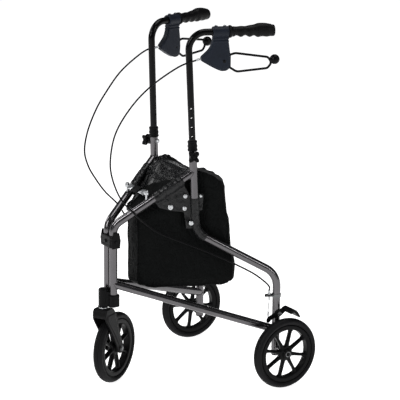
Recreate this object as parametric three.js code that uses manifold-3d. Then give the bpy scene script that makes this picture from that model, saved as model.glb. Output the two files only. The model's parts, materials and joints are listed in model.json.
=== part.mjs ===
// Three-wheel folding walker (rollator) with telescoping handles, cable brakes and a fabric tote bag.
// Millimetres, +Z up, the walker faces -Y and its left side is +X. The origin is on the floor, under
// the middle of the whole object.
import * as THREE from "three";
import { ConvexGeometry } from "three/addons/geometries/ConvexGeometry.js";
import { mergeVertices } from "three/addons/utils/BufferGeometryUtils.js";
import Module from "manifold-3d";

const wasm = await Module();
wasm.setup();

// ---------------------------------------------------------------- driving dimensions
const GAP = 0.3; // clearance between pieces that touch
const ORIGIN_Y = 218.1; // from the hinge tubes back to the middle of the object

const TUBE_R = 11.1; // 7/8 inch frame tube
const TUBE_WALL = 1.5;
const POST_R = 9.3; // handle tube that slides in the upright
const POST_WALL = 1.7;
const TUBE_SIDES = 14;

const HINGE_X = 15.6; // each front tube stands this far from the middle plane
const OPEN_DEG = 24.15; // each side frame opens this far from the direction of travel
const FRONT_FOOT_Z = 243; // lower end of the front tube
const DIAGONAL_FOOT_Z = 464.8; // where the front tube's line meets the diagonal's
const DIAGONAL_TOP_Z = 610.4; // where the diagonal meets the upright
const DIAGONAL_BEND_R = 40;

const UPRIGHT_S = 217.9; // upright's distance behind the front tube at UPRIGHT_Z
const UPRIGHT_Z = 600;
const UPRIGHT_LEAN = 0.046; // the upright's top leans forward by this slope
const UPRIGHT_TOP_Z = 690;
const UPRIGHT_BEND_R = 55;
const RAIL_CORNER_Z = 440.9; // where the upright's line meets the upper rail's
const LEG_S = 452.4; // rear leg's distance behind the front tube
const LEG_CORNER_Z = 316;
const LEG_BEND_R = 60;
const LEG_FOOT_Z = 84;
const LOWER_RAIL_FRONT_Z = 300.8;
const LOWER_RAIL_REAR_Z = 154.7;

const WHEEL_R = 100; // 8 inch class wheel
const TYRE_HALF = 14;
const RIM_R = 83;
const HUB_R = 21;
const HUB_HALF = 16;
const AXLE_R = 4;
const WHEEL_OUT = 47; // rear wheel's middle, outboard of the leg

const STEM_Y = -23.3; // caster stem, ahead of the front tubes
const CASTER_TRAIL = 60;
const CASTER_STEER_DEG = 31.1;
const FORK_HALF = 22;

const KNOB_Z = 657;
const COLLAR_FOOT_Z = 669;
const HOLE_PITCH = 25.4;
const BAR_Z = 989.5; // middle of the level handle bar
const BAR_TOE_DEG = 6.2; // the bar turns in from its side frame by this much
const BAR_LENGTH = 228;
const BAR_BEND_R = 46;
const POST_FOOT_Z = 580;

const LINK_PIN_S = 90; // fold link's pivot, along the side frame
const LINK_Z = 553;
const LINK_REACH = 12; // from the clevis's upright pin to its hinge
const LINK_TILT_DEG = 33.7; // the link lies parallel to the diagonals

const BAG_INSET = 14; // bag's side faces lie this far inside the frames
const BAG_WALL = 3;

// ---------------------------------------------------------------- small maths
const rad = THREE.MathUtils.degToRad;
const V = (x, y, z) => new THREE.Vector3(x, y, z);
const uprightS = (z) => UPRIGHT_S + UPRIGHT_LEAN * (UPRIGHT_Z - z);
const onUpright = (z) => V(0, uprightS(z), z);
const UP = V(0, 0, 1);

// ---------------------------------------------------------------- solids
// A closed geometry as a manifold solid, with its faces turned outward.
function solid(geometry) {
  const bare = new THREE.BufferGeometry();
  bare.setAttribute("position", geometry.getAttribute("position").clone());
  bare.setIndex(geometry.index);
  const merged = mergeVertices(bare, 1e-4);
  const position = merged.getAttribute("position").array;
  const faces = [];
  for (let i = 0; i < merged.index.count; i += 3) {
    const [a, b, c] = [0, 1, 2].map((k) => merged.index.getX(i + k));
    if (a !== b && b !== c && c !== a) faces.push([a, b, c]);
  }
  const build = (list) =>
    new wasm.Manifold(
      new wasm.Mesh({
        numProp: 3,
        vertProperties: new Float32Array(position),
        triVerts: new Uint32Array(list.flat()),
      }),
    );
  const made = build(faces);
  return made.volume() < 0 ? build(faces.map(([a, b, c]) => [a, c, b])) : made;
}

// The manifold solid as a plain geometry.
function geometryOf(made) {
  const mesh = made.getMesh();
  const geometry = new THREE.BufferGeometry();
  const position = new THREE.BufferAttribute(mesh.vertProperties.slice(), 3);
  geometry.setAttribute("position", position);
  geometry.setIndex(new THREE.BufferAttribute(mesh.triVerts.slice(), 1));
  geometry.computeVertexNormals();
  return geometry;
}

const join = (first, ...rest) => rest.reduce((all, next) => all.add(next), first);
const cut = (first, ...rest) => rest.reduce((all, next) => all.subtract(next), first);

// A matrix that carries local x, y and z to the given directions at the given place.
const basis = (x, y, z, at) => new THREE.Matrix4().makeBasis(x, y, z).setPosition(at);

// A rod between two points.
function rod(from, to, radius, sides = 10) {
  const length = from.distanceTo(to);
  const geometry = new THREE.CylinderGeometry(radius, radius, length, sides, 1);
  const turn = new THREE.Quaternion().setFromUnitVectors(
    V(0, 1, 0),
    to.clone().sub(from).normalize(),
  );
  geometry.applyQuaternion(turn);
  const middle = from.clone().add(to).multiplyScalar(0.5);
  return solid(geometry.translate(middle.x, middle.y, middle.z));
}

// A flat outline, given as [u, v] pairs, extruded from depth low to depth high and placed by a matrix.
function prism(outline, low, high, matrix) {
  const shape = new THREE.Shape(outline.map(([u, v]) => new THREE.Vector2(u, v)));
  const options = { depth: high - low, bevelEnabled: false };
  const geometry = new THREE.ExtrudeGeometry(shape, options);
  return solid(geometry.translate(0, 0, low).applyMatrix4(matrix));
}

// A profile of [radius, height] pairs turned about an axis that starts at a point.
function turned(profile, sides, at, axis, reshape = null) {
  const points = profile.map(([r, h]) => new THREE.Vector2(r, h));
  const geometry = new THREE.LatheGeometry(points, sides);
  geometry.applyQuaternion(new THREE.Quaternion().setFromUnitVectors(V(0, 1, 0), axis));
  if (reshape) reshape(geometry.getAttribute("position"));
  return solid(geometry.translate(at.x, at.y, at.z));
}

const circle = (radius, sides) =>
  Array.from({ length: sides }, (_, k) => {
    const angle = ((k + 0.5) * 2 * Math.PI) / sides;
    return new THREE.Vector2(radius * Math.cos(angle), radius * Math.sin(angle));
  });

// A route of straight runs joined by round bends. Its stations are only where the tube needs a ring.
class BentRoute extends THREE.Curve {
  constructor(corners, radii, degreesPerStep = 20) {
    super();
    const unit = (a, b) => b.clone().sub(a).normalize();
    this.stations = [{ point: corners[0], tangent: unit(corners[0], corners[1]) }];
    for (let k = 1; k < corners.length - 1; k += 1) {
      const into = unit(corners[k - 1], corners[k]);
      const out = unit(corners[k], corners[k + 1]);
      const angle = into.angleTo(out);
      const side = out.clone().addScaledVector(into, -into.dot(out)).normalize();
      const radius = radii[k - 1];
      const start = corners[k].clone().addScaledVector(into, -radius * Math.tan(angle / 2));
      const steps = Math.max(2, Math.ceil(THREE.MathUtils.radToDeg(angle) / degreesPerStep));
      for (let i = 0; i <= steps; i += 1) {
        const turn = (angle * i) / steps;
        const point = start
          .clone()
          .addScaledVector(into, radius * Math.sin(turn))
          .addScaledVector(side, radius * (1 - Math.cos(turn)));
        const tangent = into
          .clone()
          .multiplyScalar(Math.cos(turn))
          .addScaledVector(side, Math.sin(turn));
        this.stations.push({ point, tangent });
      }
    }
    const last = corners.length - 1;
    this.stations.push({
      point: corners[last],
      tangent: unit(corners[last - 1], corners[last]),
    });
  }

  station(u) {
    return this.stations[Math.round(u * (this.stations.length - 1))];
  }

  getPointAt(u) {
    return this.station(u).point.clone();
  }

  getTangentAt(u) {
    return this.station(u).tangent.clone();
  }
}

// A tube, or a bar when it has no bore, along a route.
function tube(route, outer, inner = 0, sides = TUBE_SIDES, steps = 0) {
  const shape = new THREE.Shape(circle(outer, sides));
  if (inner > 0) shape.holes.push(new THREE.Path(circle(inner, sides)));
  const geometry = new THREE.ExtrudeGeometry(shape, {
    steps: steps || route.stations.length - 1,
    bevelEnabled: false,
    extrudePath: route,
  });
  return solid(geometry);
}

// ---------------------------------------------------------------- finishes
const finish = (color, roughness, metalness) =>
  new THREE.MeshStandardMaterial({ color, roughness, metalness });
const PEWTER = finish(0x7d787c, 0.32, 0.85);
const BLACK_PAINT = finish(0x131314, 0.22, 0.3);
const BLACK_PLASTIC = finish(0x19191b, 0.5, 0);
const RUBBER = finish(0x1b1b1c, 0.75, 0);
const TYRE = finish(0x252527, 0.85, 0);
const STEEL = finish(0xb9bbbd, 0.28, 1);
const FABRIC = finish(0x17181b, 0.8, 0);
const CABLE = finish(0x101011, 0.4, 0);

const walker = new THREE.Group();
walker.position.y = -ORIGIN_Y;

function piece(parent, name, made, material) {
  const mesh = new THREE.Mesh(geometryOf(made), material);
  mesh.name = name;
  parent.add(mesh);
}

// ---------------------------------------------------------------- wheels
// An eight-spoke rim and a tyre about an axis through a point.
function addWheel(parent, prefix, centre, axis) {
  const rimDepth = 11;
  const ring = turned(
    [
      [68, -rimDepth],
      [RIM_R, -9],
      [RIM_R, 9],
      [68, rimDepth],
      [68, -rimDepth],
    ],
    32,
    centre,
    axis,
  );
  const hub = turned(
    [
      [AXLE_R + 1, -HUB_HALF],
      [HUB_R - 8, -HUB_HALF],
      [HUB_R, -9],
      [HUB_R, 9],
      [HUB_R - 8, HUB_HALF],
      [AXLE_R + 1, HUB_HALF],
      [AXLE_R + 1, -HUB_HALF],
    ],
    12,
    centre,
    axis,
  );
  const across = UP.clone().cross(axis).normalize();
  const spokes = Array.from({ length: 8 }, (_, k) => {
    const angle = rad(45 * k + 22.5);
    const along = UP.clone().multiplyScalar(Math.cos(angle)).addScaledVector(across, Math.sin(angle));
    const sideways = axis.clone().cross(along);
    const outline = [
      [17, -6],
      [70, -4],
      [70, 4],
      [17, 6],
    ];
    return prism(outline, -5, 5, basis(along, sideways, along.clone().cross(sideways), centre));
  });
  piece(parent, prefix + "_wheel_rim", join(ring, hub, ...spokes), BLACK_PLASTIC);
  const inner = RIM_R + GAP;
  const tyre = turned(
    [
      [inner, -9],
      [90, -TYRE_HALF],
      [96.5, -10],
      [WHEEL_R, -4],
      [WHEEL_R, 4],
      [96.5, 10],
      [90, TYRE_HALF],
      [inner, 9],
      [inner, -9],
    ],
    32,
    centre,
    axis,
  );
  piece(parent, prefix + "_tyre", tyre, TYRE);
}

// ---------------------------------------------------------------- one side of the walker
// A side is built in its own frame: x outward from the frame's plane, y rearward in it, z up.
// The other side is the same group mirrored. Only the two brake cables take different routes.
function addSide(prefix, mirror, cablePoints) {
  const side = new THREE.Group();
  side.scale.x = mirror;
  const frame = new THREE.Group();
  frame.position.x = HINGE_X;
  frame.rotation.z = -rad(OPEN_DEG);
  side.add(frame);
  walker.add(side);
  const add = (name, made, material) => piece(frame, prefix + "_" + name, made, material);

  const bore = TUBE_R - TUBE_WALL;
  const clear = TUBE_R + GAP;
  const across = V(Math.cos(rad(OPEN_DEG)), Math.sin(rad(OPEN_DEG)), 0); // the rear axle's direction
  const travel = V(-Math.sin(rad(OPEN_DEG)), Math.cos(rad(OPEN_DEG)), 0);
  const fromLeg = (a, b, z) =>
    V(0, LEG_S, z).addScaledVector(across, a).addScaledVector(travel, b);

  // Side frame: front tube with its diagonal, upright with the upper rail and leg, lower rail.
  const diagonalFoot = V(0, 0, DIAGONAL_FOOT_Z);
  const diagonalTop = onUpright(DIAGONAL_TOP_Z);
  const frontRoute = new BentRoute([V(0, 0, FRONT_FOOT_Z), diagonalFoot, diagonalTop], [DIAGONAL_BEND_R]);
  const uprightClear = rod(onUpright(500), onUpright(720), clear, TUBE_SIDES);
  const linkPinAt = (z) => V(0, LINK_PIN_S, z);
  const frontTube = cut(
    tube(frontRoute, TUBE_R, bore),
    uprightClear,
    rod(linkPinAt(527), linkPinAt(560), 3 + GAP),
  );
  add("front_tube", frontTube, PEWTER);

  const railCorner = onUpright(RAIL_CORNER_Z);
  const legCorner = V(0, LEG_S, LEG_CORNER_Z);
  const rearRoute = new BentRoute(
    [onUpright(UPRIGHT_TOP_Z), railCorner, legCorner, V(0, LEG_S, LEG_FOOT_Z)],
    [UPRIGHT_BEND_R, LEG_BEND_R],
  );
  const pedalPinZ = 205;
  const axleBoss = cut(
    rod(fromLeg(8, 0, WHEEL_R), fromLeg(WHEEL_OUT - HUB_HALF - 0.5, 0, WHEEL_R), 9),
    rod(V(0, LEG_S, 80), V(0, LEG_S, 120), bore + 0.5, TUBE_SIDES),
  );
  const rearTube = cut(
    join(tube(rearRoute, TUBE_R, bore), axleBoss),
    rod(V(0, uprightS(KNOB_Z), KNOB_Z), V(20, uprightS(KNOB_Z), KNOB_Z), 4 + GAP),
    rod(fromLeg(-20, 0, WHEEL_R), fromLeg(40, 0, WHEEL_R), AXLE_R + GAP),
    rod(fromLeg(-20, 0, pedalPinZ), fromLeg(20, 0, pedalPinZ), 3 + GAP),
  );
  add("rear_tube", rearTube, PEWTER);

  const railFront = V(0, 0, LOWER_RAIL_FRONT_Z);
  const railRear = V(0, LEG_S, LOWER_RAIL_REAR_Z);
  const lowerRail = cut(
    tube(new BentRoute([railFront, railRear], []), TUBE_R, bore),
    rod(V(0, 0, 260), V(0, 0, 340), clear, TUBE_SIDES),
    rod(V(0, LEG_S, 120), V(0, LEG_S, 190), clear, TUBE_SIDES),
  );
  add("lower_rail", lowerRail, PEWTER);

  // Collar on the upright's top, and below it the locking knob outside and its nut inside.
  const knobAt = (x) => V(x, uprightS(KNOB_Z), KNOB_Z);
  const collar = cut(
    rod(onUpright(COLLAR_FOOT_Z), onUpright(697), 13, 20),
    rod(onUpright(630), onUpright(UPRIGHT_TOP_Z + GAP), clear + 0.2, 20),
    rod(onUpright(660), onUpright(700), POST_R + GAP, 20),
  );
  add("collar", collar, BLACK_PLASTIC);
  const star = Array.from({ length: 32 }, (_, k) => {
    const angle = (2 * Math.PI * k) / 32;
    const radius = 13.5 - 4.5 * Math.cos(4 * angle);
    return [radius * Math.cos(angle), radius * Math.sin(angle)];
  });
  const knobBasis = basis(V(0, 1, 0), V(0, 0, 1), V(1, 0, 0), knobAt(0));
  const knob = join(
    prism(star, 18.4, 32, knobBasis),
    rod(knobAt(TUBE_R + GAP + 0.3), knobAt(20), 6.5, 12),
    rod(knobAt(POST_R + 1), knobAt(20), 3.9),
  );
  add("knob", knob, BLACK_PLASTIC);
  add("collar_nut", rod(knobAt(-TUBE_R - GAP), knobAt(-TUBE_R - 5), 6.5, 6), STEEL);

  // Handle: the post in the upright, bent back into the bar that carries the housing and grip.
  const toe = rad(BAR_TOE_DEG);
  const ahead = V(-Math.sin(toe), Math.cos(toe), 0); // along the bar, to its end
  const out = V(Math.cos(toe), Math.sin(toe), 0); // sideways from the bar, outward
  const barStart = onUpright(BAR_Z);
  const onBar = (h, w = 0, z = BAR_Z) =>
    V(barStart.x, barStart.y, z).addScaledVector(ahead, h).addScaledVector(out, w);
  const handleRoute = new BentRoute([onUpright(POST_FOOT_Z), barStart, onBar(BAR_LENGTH)], [BAR_BEND_R]);
  const holes = Array.from({ length: 6 }, (_, k) => {
    const z = KNOB_Z + HOLE_PITCH * k;
    return rod(V(-15, uprightS(z), z), V(15, uprightS(z), z), 3.2, 8);
  });
  add("handle_tube", cut(tube(handleRoute, POST_R, POST_R - POST_WALL), ...holes), BLACK_PAINT);

  const gripBore = POST_R + GAP;
  const gripProfile = [
    [0, BAR_LENGTH + 1],
    [gripBore, BAR_LENGTH + 1],
    [gripBore, 111],
    [17, 111],
    [17, 117],
    [13.2, 121],
    [13.6, 132],
    [13.8, 144],
    [14.2, 156],
    [15, 168],
    [15.8, 180],
    [16, 192],
    [15.4, 205],
    [14.6, 218],
    [15, 230],
    [12, 235],
    [0, 236],
  ];
  // The grip swells under the palm and waves under the fingers.
  const shapeGrip = (position) => {
    for (let i = 0; i < position.count; i += 1) {
      const p = V(0, 0, 0).fromBufferAttribute(position, i);
      const h = p.dot(ahead);
      const radial = p.clone().addScaledVector(ahead, -h);
      const radius = radial.length();
      if (radius < gripBore + 1 || h < 119) continue;
      const lift = Math.max(0, radial.z / radius);
      const drop = Math.max(0, -radial.z / radius);
      const swell = 5 * lift * lift * Math.exp(-(((h - 186) / 30) ** 2));
      const wave = h < 225 ? -1.5 * drop * Math.cos((2 * Math.PI * (h - 132)) / 24) : 0;
      p.addScaledVector(radial, (swell + wave) / radius);
      position.setXYZ(i, p.x, p.y, p.z);
    }
  };
  add("grip", turned(gripProfile, 20, barStart, ahead, shapeGrip), RUBBER);

  // Brake housing clamped on the bar, with cheeks either side of the lever's root.
  const barBasis = basis(ahead, UP, ahead.clone().cross(UP), V(barStart.x, barStart.y, 0));
  const fan = [
    [67, 994],
    [67, 973],
    [60.5, 950],
    [50, 937],
    [36, 924.5],
    [36, 912.5],
    [62, 897],
    [80, 888],
    [94, 884],
    [108, 887],
    [113, 892],
    [114, 934],
    [109, 968],
    [110, 994],
  ];
  const leverPin = { h: 98, z: 911 };
  const housing = cut(
    join(rod(onBar(66), onBar(110.6), 14.6, 20), prism(fan, -8, 8, barBasis)),
    rod(onBar(60), onBar(120), gripBore, TUBE_SIDES),
    prism(
      [
        [82, 876],
        [120, 876],
        [120, 941],
        [82, 941],
      ],
      -4.8,
      4.8,
      barBasis,
    ),
    rod(onBar(leverPin.h, -12, leverPin.z), onBar(leverPin.h, 12, leverPin.z), 3),
  );
  add("brake_housing", housing, BLACK_PLASTIC);
  const pin = join(
    rod(onBar(leverPin.h, -9.5, leverPin.z), onBar(leverPin.h, 9, leverPin.z), 2.7),
    rod(onBar(leverPin.h, 8 + GAP, leverPin.z), onBar(leverPin.h, 10, leverPin.z), 4.6),
  );
  add("lever_pin", pin, STEEL);

  const loopRoute = new BentRoute(
    [
      onBar(108, 0, 925),
      onBar(130, 0, 931),
      onBar(221, 0, 917.5),
      onBar(231, 0, 902),
      onBar(220, 0, 887.5),
      onBar(134, 0, 880.5),
      onBar(108, 0, 897),
    ],
    [14, 8, 6, 8, 14],
    30,
  );
  const leverRoot = [
    [89, 903],
    [94, 897],
    [117, 890],
    [117, 931],
    [94, 925],
    [89, 919],
  ];
  const lever = cut(
    join(
      tube(loopRoute, 3, 0, 8),
      prism(leverRoot, -4.2, 4.2, barBasis),
      turned(
        Array.from({ length: 9 }, (_, k) => {
          const angle = (Math.PI * k) / 8 - Math.PI / 2;
          return [k % 8 ? 13.5 * Math.cos(angle) : 0, 13.5 * Math.sin(angle)];
        }),
        16,
        onBar(239.5, 0, 911),
        ahead,
      ),
    ),
    rod(onBar(leverPin.h, -12, leverPin.z), onBar(leverPin.h, 12, leverPin.z), 3),
  );
  add("brake_lever", lever, BLACK_PAINT);

  // Brake cable from the barrel adjuster down to the bracket on the leg.
  const barrelFoot = onBar(34.2, 3, 918.5);
  const barrelTip = onBar(17, 12, 916);
  add("cable_adjuster", rod(barrelFoot, barrelTip, 3.6, 10), STEEL);
  const ferruleTop = V(6, 431, 271.5);
  const barrelWay = barrelTip.clone().sub(barrelFoot).normalize();
  const cableStart = barrelTip.clone().addScaledVector(barrelWay, GAP);
  const cableEnd = ferruleTop.clone().addScaledVector(UP, GAP);
  const way = [
    cableStart,
    cableStart.clone().addScaledVector(barrelWay, 5),
    ...cablePoints.map(([x, y, z]) => V(x, y, z)),
    cableEnd.clone().addScaledVector(UP, 9),
    cableEnd,
  ];
  const cableRoute = new THREE.CatmullRomCurve3(way, false, "centripetal");
  add("brake_cable", tube(cableRoute, 2.3, 0, 6, 34), CABLE);
  add("cable_ferrule", rod(V(6, 431, 260 + GAP), ferruleTop, 3.4, 10), STEEL);
  const bracket = cut(
    prism(
      [
        [-6, 424],
        [11, 424],
        [11, 441],
        [9, 450],
        [-9, 450],
        [-9, 436],
      ],
      250,
      260,
      new THREE.Matrix4(),
    ),
    rod(V(0, LEG_S, 240), V(0, LEG_S, 270), clear, TUBE_SIDES),
  );
  add("cable_bracket", bracket, BLACK_PLASTIC);
  const wireFoot = fromLeg(14.5, -37, 200.5);
  add("brake_wire", rod(V(6, 431, 250 - GAP), wireFoot, 1, 6), STEEL);

  // Foot-end brake: a bent lever on the leg whose tail presses on the tyre.
  const pedalBasis = basis(travel, UP, travel.clone().cross(UP), V(0, LEG_S, 0));
  const arm = [
    [-40, 185],
    [-34, 184],
    [-26, 192],
    [-6, 197],
    [8, 199],
    [20, 208],
    [26, 213],
    [20, 224],
    [8, 219],
    [-6, 213],
    [-28, 204],
    [-37, 199],
    [-41, 192],
  ];
  const tail = [
    [12, 213],
    [20, 217],
    [27, 211.5],
    [36, 200.5],
    [41, 203],
    [32, 217.5],
    [21, 225],
    [12, 221.5],
  ];
  const pedal = cut(
    join(prism(arm, 12.3, 16.8, pedalBasis), prism(tail, 12.3, 60, pedalBasis)),
    rod(fromLeg(0, 0, pedalPinZ), fromLeg(30, 0, pedalPinZ), 3 + GAP),
  );
  add("brake_pedal", pedal, BLACK_PLASTIC);
  const pedalPin = join(
    rod(fromLeg(-14, 0, pedalPinZ), fromLeg(19, 0, pedalPinZ), 3),
    rod(fromLeg(16.8 + GAP, 0, pedalPinZ), fromLeg(20, 0, pedalPinZ), 6, 12),
  );
  add("pedal_pin", pedalPin, STEEL);

  // Rear axle and wheel.
  const axleEnd = WHEEL_OUT + HUB_HALF;
  const axle = join(
    rod(fromLeg(-16, 0, WHEEL_R), fromLeg(axleEnd + 3, 0, WHEEL_R), AXLE_R),
    rod(fromLeg(-12.5, 0, WHEEL_R), fromLeg(-17, 0, WHEEL_R), 7, 6),
    rod(fromLeg(axleEnd + 0.5, 0, WHEEL_R), fromLeg(axleEnd + 4, 0, WHEEL_R), 8),
  );
  add("rear_axle", axle, STEEL);
  addWheel(frame, prefix, fromLeg(WHEEL_OUT, 0, WHEEL_R), across);

  // Half of the fold link: an upright pin on the diagonal, a clevis that swivels on it, and a flat
  // link that hinges on the clevis. Directions here are those of the whole walker.
  const toMiddle = across.clone().negate();
  const slope = travel.clone().multiplyScalar(Math.cos(rad(LINK_TILT_DEG)));
  slope.addScaledVector(UP, Math.sin(rad(LINK_TILT_DEG)));
  const normal = slope.clone().cross(toMiddle).negate();
  const linkBase = linkPinAt(LINK_Z);
  const onLink = (x, u, n = 0) =>
    linkBase.clone().addScaledVector(toMiddle, x).addScaledVector(slope, u).addScaledVector(normal, n);
  const linkPin = join(
    rod(linkPinAt(520), linkPinAt(LINK_Z + 6), 3),
    rod(linkPinAt(LINK_Z + 5), linkPinAt(LINK_Z + 8.5), 5.5, 6),
  );
  add("link_pin", linkPin, STEEL);
  const clevis = cut(
    join(
      rod(linkPinAt(LINK_Z - 3), linkPinAt(LINK_Z + 3), 7, 16),
      prism(
        [
          [0, -4],
          [LINK_REACH, -4],
          [LINK_REACH, 4],
          [0, 4],
        ],
        -2.8,
        2.8,
        basis(toMiddle, slope, toMiddle.clone().cross(slope), linkBase),
      ),
      rod(onLink(LINK_REACH, -4.4), onLink(LINK_REACH, 4.4), 3.6),
      rod(onLink(LINK_REACH, -8.6), onLink(LINK_REACH, 8.6), 1.9),
    ),
    rod(linkPinAt(LINK_Z - 10), linkPinAt(LINK_Z + 10), 3 + GAP),
  );
  add("link_clevis", clevis, STEEL);
  const span = HINGE_X + LINK_PIN_S * Math.sin(rad(OPEN_DEG));
  const linkEnd = span + 6;
  const layer = mirror > 0 ? [-8, -GAP] : [GAP, 8];
  const plateBasis = basis(toMiddle, slope, toMiddle.clone().cross(slope), linkBase);
  const plate = prism(
    [
      [LINK_REACH + 4.4, -8],
      [span - 22, -8],
      [span - 18, layer[0]],
      [linkEnd - 2, layer[0]],
      [linkEnd, layer[0] + 2],
      [linkEnd, layer[1] - 2],
      [linkEnd - 2, layer[1]],
      [span - 18, layer[1]],
      [span - 22, 8],
      [LINK_REACH + 4.4, 8],
    ],
    -1.5,
    1.5,
    plateBasis,
  );
  const ears = [-1, 1].map((k) => {
    const low = k < 0 ? -8 : 4.8;
    const ear = rod(onLink(LINK_REACH, low), onLink(LINK_REACH, low + 3.2), 4);
    const web = [
      [LINK_REACH, low],
      [LINK_REACH + 6, low],
      [LINK_REACH + 6, low + 3.2],
      [LINK_REACH, low + 3.2],
    ];
    return join(ear, prism(web, -1.5, 1.5, plateBasis));
  });
  const link = cut(
    join(plate, ...ears),
    rod(onLink(LINK_REACH, -12), onLink(LINK_REACH, 12), 1.9 + GAP),
  );
  add("fold_link", link, STEEL);

  // Fabric wing of the bag, sewn round the diagonal and the upright.
  const diagonalAt = (s) => {
    const rise = (DIAGONAL_TOP_Z - DIAGONAL_FOOT_Z) / uprightS(DIAGONAL_TOP_Z);
    return V(0, s, DIAGONAL_FOOT_Z + rise * s);
  };
  const railAt = (s) => railCorner.clone().lerp(legCorner, (s - railCorner.y) / (LEG_S - railCorner.y));
  const wingRoute = (top, end) => new BentRoute([onUpright(top), railCorner, railAt(end)], [UPRIGHT_BEND_R]);
  const gusset = [
    [112, 531],
    [125, 512],
    [155, 503],
    [192, 499],
    [199, 446],
    [222, 446],
    [221, 538],
    [207, 546],
    [188, 590],
    [112, 540],
  ];
  const gussetBasis = basis(V(0, 1, 0), V(0, 0, 1), V(1, 0, 0), V(0, 0, 0));
  const sleeveR = clear + 1.6;
  const wing = cut(
    join(
      prism(gusset, -1.5, 1.5, gussetBasis),
      rod(diagonalAt(112), diagonalAt(188), sleeveR, TUBE_SIDES),
      tube(wingRoute(538, 254), sleeveR),
    ),
    rod(diagonalAt(100), diagonalAt(200), clear, TUBE_SIDES),
    tube(wingRoute(560, 270), clear),
  );
  add("bag_wing", wing, FABRIC);
}

// ---------------------------------------------------------------- root brackets
function addBrackets() {
  const at = V(0, 0, 0);
  const lying = new THREE.Matrix4();
  const hole = (x, low, high) => rod(V(x, 0, low), V(x, 0, high), TUBE_R + GAP + 0.2, 18);
  const body = [
    [-31, -9],
    [-24, -16],
    [24, -16],
    [31, -9],
    [31, 9],
    [24, 16],
    [-24, 16],
    [-31, 9],
  ];
  const cheek = (x) =>
    prism(
      [
        [-12, 404],
        [12, 404],
        [14, 426],
        [9, 448],
        [-9, 448],
        [-14, 426],
      ],
      x - 1.5,
      x + 1.5,
      basis(V(0, 1, 0), V(0, 0, 1), V(1, 0, 0), at),
    );
  const upper = cut(
    join(prism(body, 407, 438, lying), cheek(31.5), cheek(-31.5)),
    hole(HINGE_X, 395, 450),
    hole(-HINGE_X, 395, 450),
  );
  piece(walker, "upper_bracket", upper, BLACK_PLASTIC);

  const stemAt = (z) => V(0, STEM_Y, z);
  const lower = cut(
    join(
      prism(body, 237, 270, lying),
      rod(stemAt(235), stemAt(288), 13.4, 16),
      prism(
        [
          [-13, STEM_Y],
          [13, STEM_Y],
          [20, -8],
          [-20, -8],
        ],
        240,
        280,
        lying,
      ),
    ),
    hole(HINGE_X, FRONT_FOOT_Z - GAP, 300),
    hole(-HINGE_X, FRONT_FOOT_Z - GAP, 300),
    rod(stemAt(220), stemAt(281), 8 + GAP, 16),
  );
  piece(walker, "lower_bracket", lower, BLACK_PLASTIC);
}

// ---------------------------------------------------------------- caster
function addCaster() {
  const steer = rad(CASTER_STEER_DEG);
  const trail = V(-Math.sin(steer), Math.cos(steer), 0);
  const axle = V(Math.cos(steer), Math.sin(steer), 0);
  const stemAt = (z) => V(0, STEM_Y, z);
  const hub = stemAt(WHEEL_R).addScaledVector(trail, CASTER_TRAIL);
  const forkBasis = basis(trail, UP, trail.clone().cross(UP), V(0, STEM_Y, 0));
  const crown = [
    [-21, 206],
    [26, 206],
    [34, 209],
    [22, 229],
    [-15, 231],
    [-21, 226],
  ];
  const leg = [
    [-20, 214],
    [-19, 200],
    [16, 150],
    [45, 94],
    [53, 87],
    [62, 86],
    [71, 91],
    [74, 101],
    [70, 112],
    [52, 160],
    [34, 212],
  ];
  const legs = [-1, 1].map((k) => {
    const low = k < 0 ? -FORK_HALF : FORK_HALF - 4.5;
    return prism(leg, low, low + 4.5, forkBasis);
  });
  const hubAt = (a) => hub.clone().addScaledVector(axle, a);
  const fork = cut(
    join(
      prism(crown, -FORK_HALF, FORK_HALF, forkBasis),
      ...legs,
      rod(stemAt(225), stemAt(231.5), 13, 20),
      rod(stemAt(225), stemAt(279), 8, 16),
    ),
    rod(hubAt(-40), hubAt(40), AXLE_R + GAP),
  );
  piece(walker, "caster_fork", fork, BLACK_PLASTIC);
  const washer = cut(
    rod(stemAt(231.5 + GAP), stemAt(235 - GAP), 12, 20),
    rod(stemAt(220), stemAt(240), 8 + GAP, 16),
  );
  piece(walker, "caster_washer", washer, STEEL);
  const bolt = join(
    rod(hubAt(-26), hubAt(26), AXLE_R),
    rod(hubAt(-FORK_HALF - GAP), hubAt(-FORK_HALF - 4.5), 7.5),
    rod(hubAt(FORK_HALF + GAP), hubAt(FORK_HALF + 4.5), 7.5),
  );
  piece(walker, "front_axle", bolt, STEEL);
  addWheel(walker, "front", hub, axle);
}

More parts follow.
